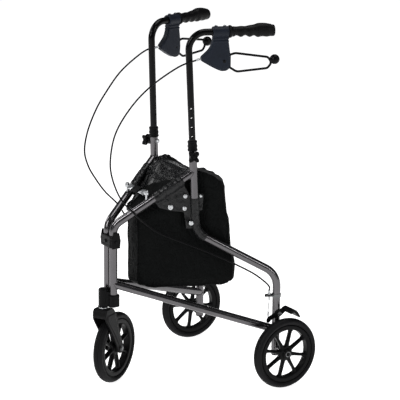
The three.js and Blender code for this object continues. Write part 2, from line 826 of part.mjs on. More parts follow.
// ---------------------------------------------------------------- bag and strap
function addBag() {
  const open = rad(OPEN_DEG);
  // A point of the bag's side face, s rearward along the frame and z up, on the left or right.
  const onFace = (s, z, hand, inset = BAG_INSET) =>
    V(
      hand * (HINGE_X + s * Math.sin(open) - inset * Math.cos(open)),
      s * Math.cos(open) + inset * Math.sin(open),
      z,
    );
  const faceOutline = [
    [88, 284],
    [81, 300],
    [81, 494],
    [84, 498],
    [200, 588],
    [236, 614],
    [262, 614],
    [292, 598],
    [307, 568],
    [321, 470],
    [336, 335],
    [331, 302],
    [305, 284],
    [238, 277],
    [118, 278],
  ];
  const shell = (outline, inset) =>
    solid(
      new ConvexGeometry(
        outline.flatMap(([s, z]) => [onFace(s, z, 1, inset), onFace(s, z, -1, inset)]),
      ),
    );
  // The bag is open at the top, under its lid.
  const hollow = [
    [91, 287],
    [84, 301],
    [84, 530],
    [200, 640],
    [289, 640],
    [304, 567],
    [318, 470],
    [333, 335],
    [328, 303],
    [304, 287],
    [238, 280],
    [118, 281],
  ];
  const bag = cut(shell(faceOutline, BAG_INSET), shell(hollow, BAG_INSET + BAG_WALL));
  piece(walker, "tote_bag", bag, FABRIC);
  const lidCorners = [
    [86, 501],
    [86, 504],
    [236, 620],
    [236, 616.5],
  ].flatMap(([s, z]) => [onFace(s, z, 1, 16), onFace(s, z, -1, 16)]);
  piece(walker, "bag_lid", solid(new ConvexGeometry(lidCorners)), FABRIC);

  // Pull strap round the middle of the fold link.
  const tilt = rad(LINK_TILT_DEG);
  const slope = V(0, Math.cos(tilt), Math.sin(tilt));
  const normal = V(0, -Math.sin(tilt), Math.cos(tilt));
  const middle = V(0, LINK_PIN_S * Math.cos(open), LINK_Z);
  const outer = 11;
  const strap = cut(
    prism(
      [
        [-outer, -4.5],
        [outer, -4.5],
        [outer, 4.5],
        [-outer, 4.5],
      ],
      -16,
      16,
      basis(slope, normal, slope.clone().cross(normal), middle),
    ),
    prism(
      [
        [-9.4, -2.9],
        [9.4, -2.9],
        [9.4, 2.9],
        [-9.4, 2.9],
      ],
      -20,
      20,
      basis(slope, normal, slope.clone().cross(normal), middle),
    ),
  );
  piece(walker, "pull_strap", strap, FABRIC);
}

// Cable routes as [outward, rearward, up] in each side's own frame, from handle to leg.
const LOWER_CABLE = [
  [15, 114, 451],
  [13, 163, 427],
  [11, 253, 389],
  [9, 347, 343],
  [7, 397, 313],
];
const LEFT_CABLE = [
  [15, 202, 912.5],
  [17, 172, 900],
  [20, 93, 845],
  [20, 41, 787],
  [20, 4, 721],
  [20, -9, 650],
  [19, -5, 606],
  [18, 19, 544],
  [17, 58, 499],
];
const RIGHT_CABLE = [
  [15, 202, 913.5],
  [17, 172, 905],
  [20, 86, 868],
  [21, 28, 826],
  [21, -22, 781],
  [21, -62, 722],
  [21, -73, 674],
  [20, -58, 632],
  [19, -28, 592],
  [18, 13, 548],
  [17, 66, 504],
];

addBrackets();
addSide("left", 1, [...LEFT_CABLE, ...LOWER_CABLE]);
addSide("right", -1, [...RIGHT_CABLE, ...LOWER_CABLE]);
addCaster();
addBag();

export default walker;
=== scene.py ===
import json
import logging
import math
from dataclasses import dataclass
from enum import Enum
from typing import Callable, Iterable, Sequence

import bmesh
import bpy
import numpy as np
from mathutils import Matrix, Vector, noise


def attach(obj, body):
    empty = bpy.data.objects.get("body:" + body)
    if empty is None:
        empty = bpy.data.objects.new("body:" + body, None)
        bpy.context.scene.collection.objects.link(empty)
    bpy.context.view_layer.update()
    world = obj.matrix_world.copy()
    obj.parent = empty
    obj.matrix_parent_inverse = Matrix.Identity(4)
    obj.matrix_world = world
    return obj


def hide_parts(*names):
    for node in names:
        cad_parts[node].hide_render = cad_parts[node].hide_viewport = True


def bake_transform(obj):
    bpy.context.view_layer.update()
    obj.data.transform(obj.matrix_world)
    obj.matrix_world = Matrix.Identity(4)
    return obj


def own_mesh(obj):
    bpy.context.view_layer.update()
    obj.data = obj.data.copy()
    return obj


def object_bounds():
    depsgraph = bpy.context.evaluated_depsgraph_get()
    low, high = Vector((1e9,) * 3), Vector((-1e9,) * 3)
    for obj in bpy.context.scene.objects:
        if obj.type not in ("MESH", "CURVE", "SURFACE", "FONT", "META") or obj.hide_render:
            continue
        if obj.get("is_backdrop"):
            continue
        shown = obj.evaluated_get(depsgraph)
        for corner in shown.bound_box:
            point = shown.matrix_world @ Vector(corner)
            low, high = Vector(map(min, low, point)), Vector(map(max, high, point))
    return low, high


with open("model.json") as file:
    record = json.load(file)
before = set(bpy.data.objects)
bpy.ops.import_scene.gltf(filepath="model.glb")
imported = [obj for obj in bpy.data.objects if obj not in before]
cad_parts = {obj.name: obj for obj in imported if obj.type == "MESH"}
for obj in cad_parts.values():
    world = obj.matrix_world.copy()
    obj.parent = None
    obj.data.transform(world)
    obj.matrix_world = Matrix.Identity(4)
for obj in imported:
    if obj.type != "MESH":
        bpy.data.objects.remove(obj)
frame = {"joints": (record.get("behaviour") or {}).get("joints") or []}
CAD_LOW, CAD_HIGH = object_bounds()

# Looks of a three-wheel folding walker: pewter tube frame, gloss black handles with loop brakes,
# eight-spoke wheels and a coated tote bag. Shapes are made in millimetres, in the walker's own
# frame or a side's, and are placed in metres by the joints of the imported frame.

LOG = logging.getLogger("walker")
MM = 0.001
UP = Vector((0, 0, 1))
JOINTS = {joint["name"]: joint for joint in frame["joints"]}


# ---------------------------------------------------------------- shader maths
class Field:
    """A value that varies over a surface: one output socket, with arithmetic that adds Math nodes."""

    def __init__(self, graph: "Graph", socket: bpy.types.NodeSocket) -> None:
        """Wraps an output socket of a graph."""
        self.graph = graph
        self.socket = socket

    def _math(self, operation: str, *terms: "Field | float") -> "Field":
        """Adds a Math node.

        Args:
            operation: the Math node's operation.
            terms: its inputs, in order.

        Returns:
            The node's result.
        """
        return self.graph.node("ShaderNodeMath", {"operation": operation}, dict(enumerate(terms)))

    def __add__(self, other: "Field | float") -> "Field":
        """Returns self + other."""
        return self._math("ADD", self, other)

    __radd__ = __add__

    def __sub__(self, other: "Field | float") -> "Field":
        """Returns self - other."""
        return self._math("SUBTRACT", self, other)

    def __rsub__(self, other: "Field | float") -> "Field":
        """Returns other - self."""
        return self._math("SUBTRACT", other, self)

    def __mul__(self, other: "Field | float") -> "Field":
        """Returns self * other."""
        return self._math("MULTIPLY", self, other)

    __rmul__ = __mul__

    def __pow__(self, other: "Field | float") -> "Field":
        """Returns self ** other."""
        return self._math("POWER", self, other)

    def __abs__(self) -> "Field":
        """Returns the absolute value."""
        return self._math("ABSOLUTE", self)

    def sine(self) -> "Field":
        """Returns the sine of an angle in radians."""
        return self._math("SINE", self)

    def ramp(self, low: float, high: float) -> "Field":
        """Eases from 0 to 1.

        Args:
            low: the value that gives 0.
            high: the value that gives 1.

        Returns:
            The eased value.
        """
        settings = {"interpolation_type": "SMOOTHSTEP"}
        return self.graph.node(
            "ShaderNodeMapRange", settings, {"Value": self, "From Min": low, "From Max": high}
        )


Number = Field | float
Colour = tuple[float, float, float]


class Graph:
    """The node tree of one material."""

    def __init__(self, name: str) -> None:
        """Starts a material with a Principled shader."""
        self.material = bpy.data.materials.new(name)
        self.material.use_nodes = True
        self.tree = self.material.node_tree
        self.shader = self.tree.nodes["Principled BSDF"]

    def put(self, socket: bpy.types.NodeSocket, value: object) -> None:
        """Gives a socket its value, or links a field to it."""
        if isinstance(value, Field):
            self.tree.links.new(value.socket, socket)
        else:
            socket.default_value = value

    def node(
        self,
        kind: str,
        settings: dict | None = None,
        inputs: dict | None = None,
        output: int | str = 0,
    ) -> Field:
        """Adds any node.

        Args:
            kind: the node's type.
            settings: its properties, which are set first.
            inputs: the values or links of its sockets, by name or number.
            output: which output to return.

        Returns:
            The chosen output.
        """
        made = self.tree.nodes.new(kind)
        for key, value in (settings or {}).items():
            setattr(made, key, value)
        for key, value in (inputs or {}).items():
            self.put(made.inputs[key], value)
        return Field(self, made.outputs[output])

    def surface(self, **values: object) -> None:
        """Sets sockets of the shader, named as Base_Color is."""
        for key, value in values.items():
            self.put(self.shader.inputs[key.replace("_", " ")], value)

    def point(self, stretch: Colour = (1, 1, 1)) -> Field:
        """The place on the piece in metres.

        Args:
            stretch: how much each axis is scaled, which gives grain a direction.

        Returns:
            The scaled place.
        """
        place = self.node("ShaderNodeTexCoord", output="Object")
        return self.node("ShaderNodeVectorMath", {"operation": "MULTIPLY"}, {0: place, 1: stretch})

    def axes(self, vector: Field) -> list[Field]:
        """Splits a vector into x, y and z."""
        made = self.node("ShaderNodeSeparateXYZ", None, {0: vector}).socket.node
        return [Field(self, socket) for socket in made.outputs]

    def noise(self, place: Field, scale: float, detail: float = 2.0, warp: float = 0.0) -> Field:
        """Soft noise from 0 to 1.

        Args:
            place: where it is read.
            scale: its waves for each metre.
            detail: how many finer layers it has.
            warp: how much it is distorted.

        Returns:
            The noise.
        """
        inputs = {"Vector": place, "Scale": scale, "Detail": detail, "Distortion": warp}
        return self.node("ShaderNodeTexNoise", None, inputs)

    def cells(self, place: Field, scale: float, output: str = "Distance") -> Field:
        """Cell noise: the distance to the nearest cell's middle, or its colour."""
        return self.node("ShaderNodeTexVoronoi", None, {"Vector": place, "Scale": scale}, output)

    def mixed(self, share: Number, first: "Field | Colour", second: "Field | Colour") -> Field:
        """Mixes two colours.

        Args:
            share: how much of the second there is.
            first: a colour.
            second: another.

        Returns:
            The mixture.
        """
        ends = [c if isinstance(c, Field) else (*c, 1.0) for c in (first, second)]
        return self.node(
            "ShaderNodeMix", {"data_type": "RGBA"}, {0: share, 6: ends[0], 7: ends[1]}, output=2
        )

    def bump(self, height: Field, depth: float, under: Field | None = None) -> Field:
        """A surface relief.

        Args:
            height: the relief's height from 0 to 1.
            depth: what a height of 1 is, in metres.
            under: the normal that it is laid on.

        Returns:
            The bent normal.
        """
        inputs = {"Height": height, "Strength": 1.0, "Distance": depth}
        if under is not None:
            inputs["Normal"] = under
        return self.node("ShaderNodeBump", None, inputs)

    def edges(self) -> Field:
        """1 on sharp outer edges, where handling wears a finish."""
        return self.node("ShaderNodeNewGeometry", output="Pointiness").ramp(0.53, 0.6)


# ---------------------------------------------------------------- finishes
@dataclass(frozen=True)
class Finish:
    """A finish: its slot in the record, its colour and how it shines."""

    name: str
    slot: str
    colour: Colour
    roughness: float
    metallic: float = 0.0
    coat: float = 0.0
    sheen: float = 0.0
    specular: float = 0.5

    def material(self) -> bpy.types.Material:
        """Makes the material once.

        Returns:
            The material.
        """
        found = bpy.data.materials.get(self.name)
        if found is not None:
            return found
        graph = Graph(self.name)
        graph.surface(Metallic=self.metallic, Specular_IOR_Level=self.specular)
        graph.surface(Sheen_Weight=self.sheen, Coat_Weight=self.coat, Coat_Roughness=0.1)
        self.dress(graph)
        return graph.material

    def dress(self, graph: Graph) -> None:
        """Adds what varies over the surface."""
        raise NotImplementedError

    def shade(self, amount: float) -> Colour:
        """The finish's colour made lighter or darker."""
        return tuple(channel * amount for channel in self.colour)


@dataclass(frozen=True)
class MetallicPaint(Finish):
    """Sprayed pewter paint: fine bright flakes under lacquer, with a few dull scuffs."""

    flake_scale: float = 2600.0

    def dress(self, graph: Graph) -> None:
        """Adds flakes, slow mottling and scuffs."""
        place = graph.point()
        flake = graph.axes(graph.cells(place, self.flake_scale, "Color"))[0]
        mottle = graph.noise(place, 22.0, 3.0)
        scuff = graph.noise(graph.point((1, 1, 0.16)), 240.0, 4.0, 0.6).ramp(0.66, 0.8)
        paint = graph.mixed(flake * 0.5 + mottle * 0.5, self.shade(0.82), self.shade(1.2))
        worn = graph.mixed(scuff * 0.35, paint, self.shade(1.5))
        graph.surface(Base_Color=worn)
        graph.surface(Roughness=self.roughness + flake * 0.1 + scuff * 0.14 + (mottle - 0.5) * 0.08)
        graph.surface(Normal=graph.bump(flake + mottle * 2.0, 0.000012))


@dataclass(frozen=True)
class GlossEnamel(Finish):
    """Baked gloss enamel: orange peel, hairline scratches and rubbed edges."""

    def dress(self, graph: Graph) -> None:
        """Adds orange peel, scratches along the tube and lighter rubbed edges."""
        peel = graph.noise(graph.point(), 420.0, 1.0)
        scratch = graph.noise(graph.point((1, 1, 0.03)), 900.0, 2.0).ramp(0.68, 0.78)
        dust = graph.noise(graph.point(), 60.0, 4.0)
        rubbed = graph.edges() * 0.5
        colour = graph.mixed(rubbed, self.colour, self.shade(4.0))
        graph.surface(Base_Color=graph.mixed(dust * 0.3, colour, self.shade(2.2)))
        graph.surface(Roughness=self.roughness + scratch * 0.16 + dust * 0.07)
        graph.surface(Normal=graph.bump(peel, 0.00004))


@dataclass(frozen=True)
class MouldedPlastic(Finish):
    """Injection-moulded plastic: a fine spark-eroded grain, flow clouds and paler rubbed edges."""

    grain_scale: float = 1500.0
    grain_depth: float = 0.00006

    def dress(self, graph: Graph) -> None:
        """Adds the mould's grain, cloudy flow marks and edge wear."""
        place = graph.point()
        grain = graph.cells(place, self.grain_scale)
        cloud = graph.noise(place, 35.0, 3.0, 0.8)
        worn = (graph.edges() * graph.noise(place, 160.0, 3.0).ramp(0.4, 0.65)) * 0.6
        colour = graph.mixed(cloud, self.shade(0.75), self.shade(1.35))
        graph.surface(Base_Color=graph.mixed(worn, colour, self.shade(3.2)))
        graph.surface(Roughness=self.roughness + (cloud - 0.5) * 0.16 + grain * 0.1)
        graph.surface(Normal=graph.bump(grain, self.grain_depth))


@dataclass(frozen=True)
class PlatedSteel(Finish):
    """Bright zinc plate: brushed streaks, dull blooms and a few pits."""

    def dress(self, graph: Graph) -> None:
        """Adds streaks, blooms and pits."""
        streak = graph.noise(graph.point((1, 1, 0.06)), 1600.0, 2.0)
        bloom = graph.noise(graph.point(), 130.0, 4.0)
        pit = graph.cells(graph.point(), 700.0).ramp(0.12, 0.02)
        tone = graph.mixed(bloom, self.shade(0.78), self.shade(1.1))
        graph.surface(Base_Color=graph.mixed(pit * 0.5, tone, self.shade(0.35)))
        graph.surface(Roughness=self.roughness + bloom * 0.16 + streak * 0.1)
        graph.surface(Normal=graph.bump(streak + pit * -1.0, 0.00002))


@dataclass(frozen=True)
class Rubber(Finish):
    """Soft rubber: a pebbled skin, grey dust in the low places and a dry bloom."""

    pebble_scale: float = 900.0
    dust: float = 0.3

    def dress(self, graph: Graph) -> None:
        """Adds pebbles, dust and bloom."""
        place = graph.point()
        pebble = graph.cells(place, self.pebble_scale)
        bloom = graph.noise(place, 48.0, 5.0, 0.5)
        dusty = bloom.ramp(0.45, 0.75) * self.dust
        graph.surface(Base_Color=graph.mixed(dusty, self.colour, self.shade(3.0)))
        graph.surface(Roughness=self.roughness + (bloom - 0.5) * 0.2)
        graph.surface(Normal=graph.bump(pebble + bloom * 0.6, 0.00014))


@dataclass(frozen=True)
class CoatedCloth(Finish):
    """Coated nylon: a fine basket weave under a soft shine, with rubbed creases and lint."""

    thread: float = 0.0007
    crease: float = 0.0012

    def dress(self, graph: Graph) -> None:
        """Adds the weave across each way that the cloth faces, small creases and rubbed places."""
        x, y, z = graph.axes(graph.point())
        turns = 2 * math.pi / self.thread
        warp = (x * turns).sine() * (z * turns).sine()
        weft = (y * turns).sine() * (z * turns).sine()
        face = abs(graph.axes(graph.node("ShaderNodeTexCoord", output="Normal"))[0])
        side = face.ramp(0.35, 0.65)
        weave = warp * (1 - side) + weft * side
        soft = graph.noise(graph.point(), 26.0, 4.0, 0.7)
        crease = abs(graph.noise(graph.point((1, 1, 0.7)), 42.0, 3.0, 1.2) - 0.5).ramp(0.0, 0.12)
        lint = graph.noise(graph.point(), 700.0, 2.0).ramp(0.7, 0.8)
        tone = graph.mixed(soft, self.shade(0.7), self.shade(1.4))
        rubbed = graph.mixed((1 - crease) * 0.22, tone, self.shade(2.4))
        graph.surface(Base_Color=graph.mixed(lint * 0.15, rubbed, self.shade(6.0)))
        graph.surface(Roughness=self.roughness + (soft - 0.5) * 0.18 + weave * 0.05)
        relief = graph.bump(crease, self.crease)
        graph.surface(Normal=graph.bump(weave, 0.00005, relief))


class Look:
    """The walker's finishes."""

    PEWTER = MetallicPaint("pewter_paint", "frame_paint", (0.098, 0.094, 0.098), 0.15, 0.96, coat=0.12)
    ENAMEL = GlossEnamel("black_enamel", "handle_paint", (0.002, 0.002, 0.0023), 0.1, specular=0.1)
    DIPPED = GlossEnamel("dipped_coat", "lever_coat", (0.0022, 0.0022, 0.0025), 0.26, specular=0.08)
    PLASTIC = MouldedPlastic(
        "black_plastic_grain", "black_plastic", (0.0025, 0.0025, 0.0028), 0.38, specular=0.08
    )
    HOUSING = MouldedPlastic(
        "blue_black_plastic", "black_plastic", (0.006, 0.0088, 0.0155), 0.45, specular=0.16
    )
    NYLON = MouldedPlastic("wheel_nylon", "wheel_plastic", (0.0025, 0.0025, 0.0028), 0.32, specular=0.08)
    STEEL = PlatedSteel("bright_zinc", "bright_steel", (0.52, 0.53, 0.54), 0.22, 1.0)
    ZINC = PlatedSteel("dull_zinc", "bright_steel", (0.17, 0.172, 0.176), 0.34, 1.0)
    GRIP = Rubber("grip_skin", "grip_rubber", (0.0022, 0.0022, 0.0025), 0.42, specular=0.1, dust=0.1)
    TYRE = Rubber(
        "tyre_rubber", "tyre", (0.004, 0.004, 0.0045), 0.6, specular=0.12, dust=0.1, pebble_scale=600.0
    )
    SHEATH = GlossEnamel("cable_sheath", "cable_cover", (0.0022, 0.0022, 0.0025), 0.3, specular=0.08)
    CLOTH = CoatedCloth("bag_cloth", "bag_fabric", (0.0023, 0.0026, 0.0026), 0.55, specular=0.04)
    SATIN = CoatedCloth("lid_cloth", "bag_fabric", (0.0026, 0.0028, 0.0032), 0.24, coat=0.12, specular=0.2)
    BINDING = CoatedCloth(
        "binding_tape", "bag_fabric", (0.003, 0.003, 0.0033), 0.6, specular=0.1, thread=0.0011
    )


# ---------------------------------------------------------------- lines and solids
def spline(points: Sequence[Vector], steps: int) -> list[Vector]:
    """A smooth line through points, as a centripetal spline.

    Args:
        points: what it passes through.
        steps: how many pieces each span is cut into.

    Returns:
        Points along the line.
    """
    ends = [2 * points[0] - points[1], *points, 2 * points[-1] - points[-2]]
    line = []
    for k in range(1, len(ends) - 2):
        near = ends[k - 1 : k + 3]
        knots = [0.0]
        for a, b in zip(near, near[1:]):
            knots.append(knots[-1] + math.sqrt((b - a).length))
        for i in range(steps):
            t = knots[1] + (knots[2] - knots[1]) * i / steps
            row = near
            for level in (1, 2):
                shares = [(t - knots[j]) / (knots[j + level] - knots[j]) for j in range(len(row) - 1)]
                row = [row[j].lerp(row[j + 1], share) for j, share in enumerate(shares)]
            line.append(row[0].lerp(row[1], i / steps))
    line.append(points[-1].copy())
    return line


def bent(corners: Sequence[Sequence[float]], radii: Sequence[float], degrees: float = 5) -> list[Vector]:
    """A line of straight runs joined by round bends.

    Args:
        corners: where the straight runs would meet, with both ends.
        radii: the bend at each inner corner.
        degrees: how far it turns from one point to the next.

    Returns:
        Points along the line.
    """
    points = [Vector(corner) for corner in corners]
    line = [points[0]]
    for before, corner, after, radius in zip(points, points[1:], points[2:], radii):
        into = (corner - before).normalized()
        out = (after - corner).normalized()
        angle = into.angle(out)
        side = (out - into * into.dot(out)).normalized()
        start = corner - into * radius * math.tan(angle / 2)
        steps = max(2, math.ceil(math.degrees(angle) / degrees))
        for i in range(steps + 1):
            turn = angle * i / steps
            reach = into * radius * math.sin(turn)
            line.append(start + reach + side * radius * (1 - math.cos(turn)))
    line.append(points[-1])
    return line


def divided(line: Sequence[Vector], longest: float) -> list[Vector]:
    """The same line with no piece longer than a length."""
    out = [line[0]]
    for a, b in zip(line, line[1:]):
        steps = max(1, math.ceil((b - a).length / longest))
        out.extend(a.lerp(b, i / steps) for i in range(1, steps + 1))
    return out


def frames(line: Sequence[Vector], closed: bool = False) -> list[tuple[Vector, Vector]]:
    """Two directions across a line at each of its points, which turn as little as they can.

    Args:
        line: the points.
        closed: whether its end meets its start.

    Returns:
        The two directions at each point.
    """
    count = len(line)
    ways = []
    for i in range(count):
        before = line[i - 1] if closed or i else line[0]
        after = line[(i + 1) % count] if closed or i < count - 1 else line[-1]
        ways.append((after - before).normalized())
    first = ways[0].orthogonal().normalized()
    if abs(ways[0].dot(UP)) < 0.9:
        first = ways[0].cross(UP).normalized()
    across = []
    for way in ways:
        first = (first - way * first.dot(way)).normalized()
        across.append((first.copy(), way.cross(first)))
    return across


def basis(x: Vector, y: Vector, at: Vector) -> Matrix:
    """The matrix that carries local x and y to two directions, and the origin to a place."""
    rows = Matrix((x.normalized(), y.normalized(), x.cross(y).normalized())).transposed()
    return Matrix.Translation(at) @ rows.to_4x4()


Profile = Sequence[tuple[float, float]]


class Solid:
    """A closed mesh in the making. It is in millimetres until it is placed."""

    def __init__(self, vertices: Iterable[Sequence[float]], faces: Iterable[Sequence[int]]) -> None:
        """Makes the mesh, with its faces turned outward."""
        mesh = bpy.data.meshes.new("solid")
        mesh.from_pydata([tuple(v) for v in vertices], [], [tuple(f) for f in faces])
        made = bmesh.new()
        made.from_mesh(mesh)
        bmesh.ops.recalc_face_normals(made, faces=made.faces)
        made.to_mesh(mesh)
        made.free()
        self.item = bpy.data.objects.new("solid", mesh)
        bpy.context.scene.collection.objects.link(self.item)

    # ------------------------------------------------ ways to start
    @classmethod
    def loft(cls, rings: Sequence[Sequence[Vector]], closed: bool = False) -> "Solid":
        """Skins rings of the same number of points.

        Args:
            rings: the rings in order.
            closed: whether the last ring joins the first. If not, both ends are capped.

        Returns:
            The solid.
        """
        size = len(rings[0])
        count = len(rings)
        faces = [
            (i * size + j, i * size + (j + 1) % size, k * size + (j + 1) % size, k * size + j)
            for i, k in ((i, (i + 1) % count) for i in range(count if closed else count - 1))
            for j in range(size)
        ]
        if not closed:
            faces.append(tuple(range(size)))
            faces.append(tuple(range((count - 1) * size, count * size)))
        return cls([p for ring in rings for p in ring], faces)

    @classmethod
    def tube(
        cls,
        line: Sequence[Vector],
        radius: float,
        sides: int = 40,
        bore: float = 0.0,
        closed: bool = False,
    ) -> "Solid":
        """A round bar or tube along a line.

        Args:
            line: its middle line.
            radius: its outer radius.
            sides: how many sides its section has.
            bore: its inner radius, or 0 for a bar.
            closed: whether the line closes on itself.

        Returns:
            The solid.
        """
        turns = [2 * math.pi * k / sides for k in range(sides)]

        def ring(at: Vector, first: Vector, second: Vector, r: float) -> list[Vector]:
            """One ring of the section."""
            return [at + (first * math.cos(a) + second * math.sin(a)) * r for a in turns]

        across = list(zip(line, frames(line, closed)))
        rings = [ring(at, *pair, radius) for at, pair in across]
        if bore:
            rings += [ring(at, *pair, bore) for at, pair in reversed(across)]
        return cls.loft(rings, closed or bool(bore))

    @classmethod
    def rod(cls, start: Vector, end: Vector, radius: float, chamfer: float = 0.0, sides: int = 32) -> "Solid":
        """A round rod between two points, with chamfered ends."""
        length = (end - start).length
        c = min(chamfer, length / 3)
        profile = [(0, 0), (radius - c, 0), (radius, c)]
        profile += [(radius, length - c), (radius - c, length), (0, length)]
        if not c:
            profile = [(0, 0), (radius, 0), (radius, length), (0, length)]
        return cls.lathe(profile, start, end - start, sides)

    @classmethod
    def lathe(
        cls,
        profile: Profile,
        at: Vector,
        axis: Vector,
        sides: int = 48,
        shape: Callable[[float, float], float] | None = None,
    ) -> "Solid":
        """A profile turned about an axis.

        Args:
            profile: radius and height pairs. It ends on the axis at both ends, or closes on itself.
            at: the axis's start.
            axis: its direction.
            sides: how many sides it has.
            shape: adds to the radius, given the height and the angle.

        Returns:
            The solid.
        """
        way = axis.normalized()
        first, second = frames([at, at + way])[0]
        ring_shape = profile[0][0] > 0
        points: list[Vector] = []
        rows = []
        for r, h in profile:
            if r <= 0:
                rows.append([len(points)] * sides)
                points.append(at + way * h)
                continue
            rows.append(list(range(len(points), len(points) + sides)))
            for k in range(sides):
                a = 2 * math.pi * k / sides
                reach = r + (shape(h, a) if shape else 0.0)
                points.append(at + way * h + (first * math.cos(a) + second * math.sin(a)) * reach)
        if ring_shape:
            rows.append(rows[0])
        faces = []
        for low, high in zip(rows, rows[1:]):
            for k in range(sides):
                n = (k + 1) % sides
                corners = list(dict.fromkeys((low[k], low[n], high[n], high[k])))
                if len(corners) > 2:
                    faces.append(corners)
        return cls(points, faces)

    @classmethod
    def plate(cls, outline: Sequence[Sequence[float]], low: float, high: float, place: Matrix) -> "Solid":
        """A flat outline made thick.

        Args:
            outline: its corners.
            low: the height of its lower face.
            high: the height of its upper face.
            place: where the outline's plane lies.

        Returns:
            The solid.
        """
        rings = [[place @ Vector((u, v, w)) for u, v in outline] for w in (low, high)]
        return cls.loft(rings)

    # ------------------------------------------------ ways to shape
    def settle(self) -> "Solid":
        """Applies the modifiers, and returns the solid."""
        graph = bpy.context.evaluated_depsgraph_get()
        mesh = bpy.data.meshes.new_from_object(self.item.evaluated_get(graph))
        self.item.modifiers.clear()
        self.item.data = mesh
        return self

    def _with(self, operation: str, others: "Iterable[Solid]") -> "Solid":
        """Joins or cuts the solid with others, which are used up."""
        others = list(others)
        for other in others:
            step = self.item.modifiers.new("step", "BOOLEAN")
            step.operation = operation
            step.solver = "EXACT"
            step.object = other.item
        self.settle()
        for other in others:
            bpy.data.objects.remove(other.item)
        return self

    def join(self, *others: "Solid") -> "Solid":
        """Welds other solids on."""
        return self._with("UNION", others)

    def cut(self, *others: "Solid") -> "Solid":
        """Cuts other solids away."""
        return self._with("DIFFERENCE", others)

    def rounded(self, width: float, segments: int = 3, degrees: float = 30) -> "Solid":
        """Rounds every edge sharper than an angle.

        Args:
            width: how far the rounding reaches.
            segments: how many steps it has.
            degrees: the angle.

        Returns:
            The solid.
        """
        step = self.item.modifiers.new("step", "BEVEL")
        step.width = width
        step.segments = segments
        step.limit_method = "ANGLE"
        step.angle_limit = math.radians(degrees)
        step.harden_normals = False
        return self.settle()

    def moulded(self, voxel: float, rounds: int) -> "Solid":
        """Melts the solid's parts into one skin with soft fillets, as a moulding has.

        Args:
            voxel: the size of the skin's faces.
            rounds: how often it is smoothed.

        Returns:
            The solid.
        """
        step = self.item.modifiers.new("step", "REMESH")
        step.mode = "VOXEL"
        step.voxel_size = voxel
        step = self.item.modifiers.new("step", "SMOOTH")
        step.factor = 0.5
        step.iterations = rounds
        return self.settle()

    def moved(self, matrix: Matrix) -> "Solid":
        """Moves the mesh by a matrix, which may mirror it, and returns the solid."""
        self.item.data.transform(matrix)
        if matrix.determinant() < 0:
            self.item.data.flip_normals()
        return self

    def copied(self) -> "Solid":
        """Returns another solid with the same mesh."""
        other = object.__new__(Solid)
        other.item = self.item.copy()
        other.item.data = self.item.data.copy()
        bpy.context.scene.collection.objects.link(other.item)
        return other

    def reshaped(self, move: Callable[[Vector], Vector]) -> "Solid":
        """Moves each point as a function says, and returns the solid."""
        for vertex in self.item.data.vertices:
            vertex.co = move(vertex.co)
        return self

    # ------------------------------------------------ the last step
    def piece(
        self,
        name: str,
        look: Finish,
        body: str | None,
        place: Matrix,
        nodes: Sequence[str] = (),
        degrees: float = 35,
    ) -> bpy.types.Object:
        """Places the solid in the walker as a piece.

        Args:
            name: the piece's name.
            look: its finish.
            body: the body that it rides on, or None, which leaves it on no body.
            place: from the solid's millimetres to the walker's metres.
            nodes: the CAD nodes that it stands for.
            degrees: edges sharper than this stay crisp.

        Returns:
            The piece.
        """
        self.moved(place)
        item = self.item
        item.name = name
        item.data.name = name
        item.data.materials.clear()
        item.data.materials.append(look.material())
        item.data.shade_smooth()
        item.data.set_sharp_from_angle(angle=math.radians(degrees))
        if body:
            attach(item, body)
        if nodes:
            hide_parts(*nodes)
        LOG.info("%s: %d faces, %s", name, len(item.data.polygons), look.name)
        return item


def hexagon(radius: float) -> list[tuple[float, float]]:
    """A bolt head's outline."""
    turns = [math.radians(60 * k) for k in range(6)]
    return [(radius * math.cos(a), radius * math.sin(a)) for a in turns]


def bolt_head(at: Vector, way: Vector, radius: float, height: float) -> Solid:
    """A hexagon head or nut on a washer.

    Args:
        at: the middle of its seat.
        way: the direction that it stands up in.
        radius: the distance to its corners.
        height: its height.

    Returns:
        The solid.
    """
    first, second = frames([at, at + way])[0]
    head = Solid.plate(hexagon(radius), 0, height, basis(first, second, at)).rounded(radius * 0.09, 2)
    return head.join(Solid.rod(at, at + way * height * 0.3, radius * 1.15, 0.2))


def weld_bead(at: Vector, branch: Vector, branch_r: float, main: Vector, main_r: float) -> Solid:
    """The bead round the end of one tube on another.

    Args:
        at: where the middle lines meet.
        branch: the direction in which the branch tube leaves.
        branch_r: its radius.
        main: the direction of the tube that it is welded to.
        main_r: that tube's radius.

    Returns:
        The bead.
    """
    way, axis = branch.normalized(), main.normalized()
    first, second = frames([at, at + way])[0]
    slant = way - axis * way.dot(axis)
    rings = []
    for k in range(64):
        a = 2 * math.pi * k / 64
        rim = (first * math.cos(a) + second * math.sin(a)) * branch_r
        flat = rim - axis * rim.dot(axis)
        b, c = slant.dot(flat), flat.dot(flat) - main_r**2
        reach = (-b + math.sqrt(max(0.0, b * b - slant.dot(slant) * c))) / slant.dot(slant)
        ripple = 1 + 0.12 * math.sin(16 * a)
        centre, outward = at + rim + way * reach, rim.normalized()
        size = 1.5 * ripple
        turns = [2 * math.pi * j / 10 for j in range(10)]
        rings.append([centre + (outward * math.cos(t) + way * math.sin(t)) * size for t in turns])
    return Solid.loft(rings, closed=True)


# ---------------------------------------------------------------- what the sub-assemblies share
class Hand(Enum):
    """The walker's two sides."""

    LEFT = "left"
    RIGHT = "right"


WHOLE = Matrix.Translation((0, JOINTS["left_fold"]["pos_m"][1], 0)) @ Matrix.Scale(MM, 4)


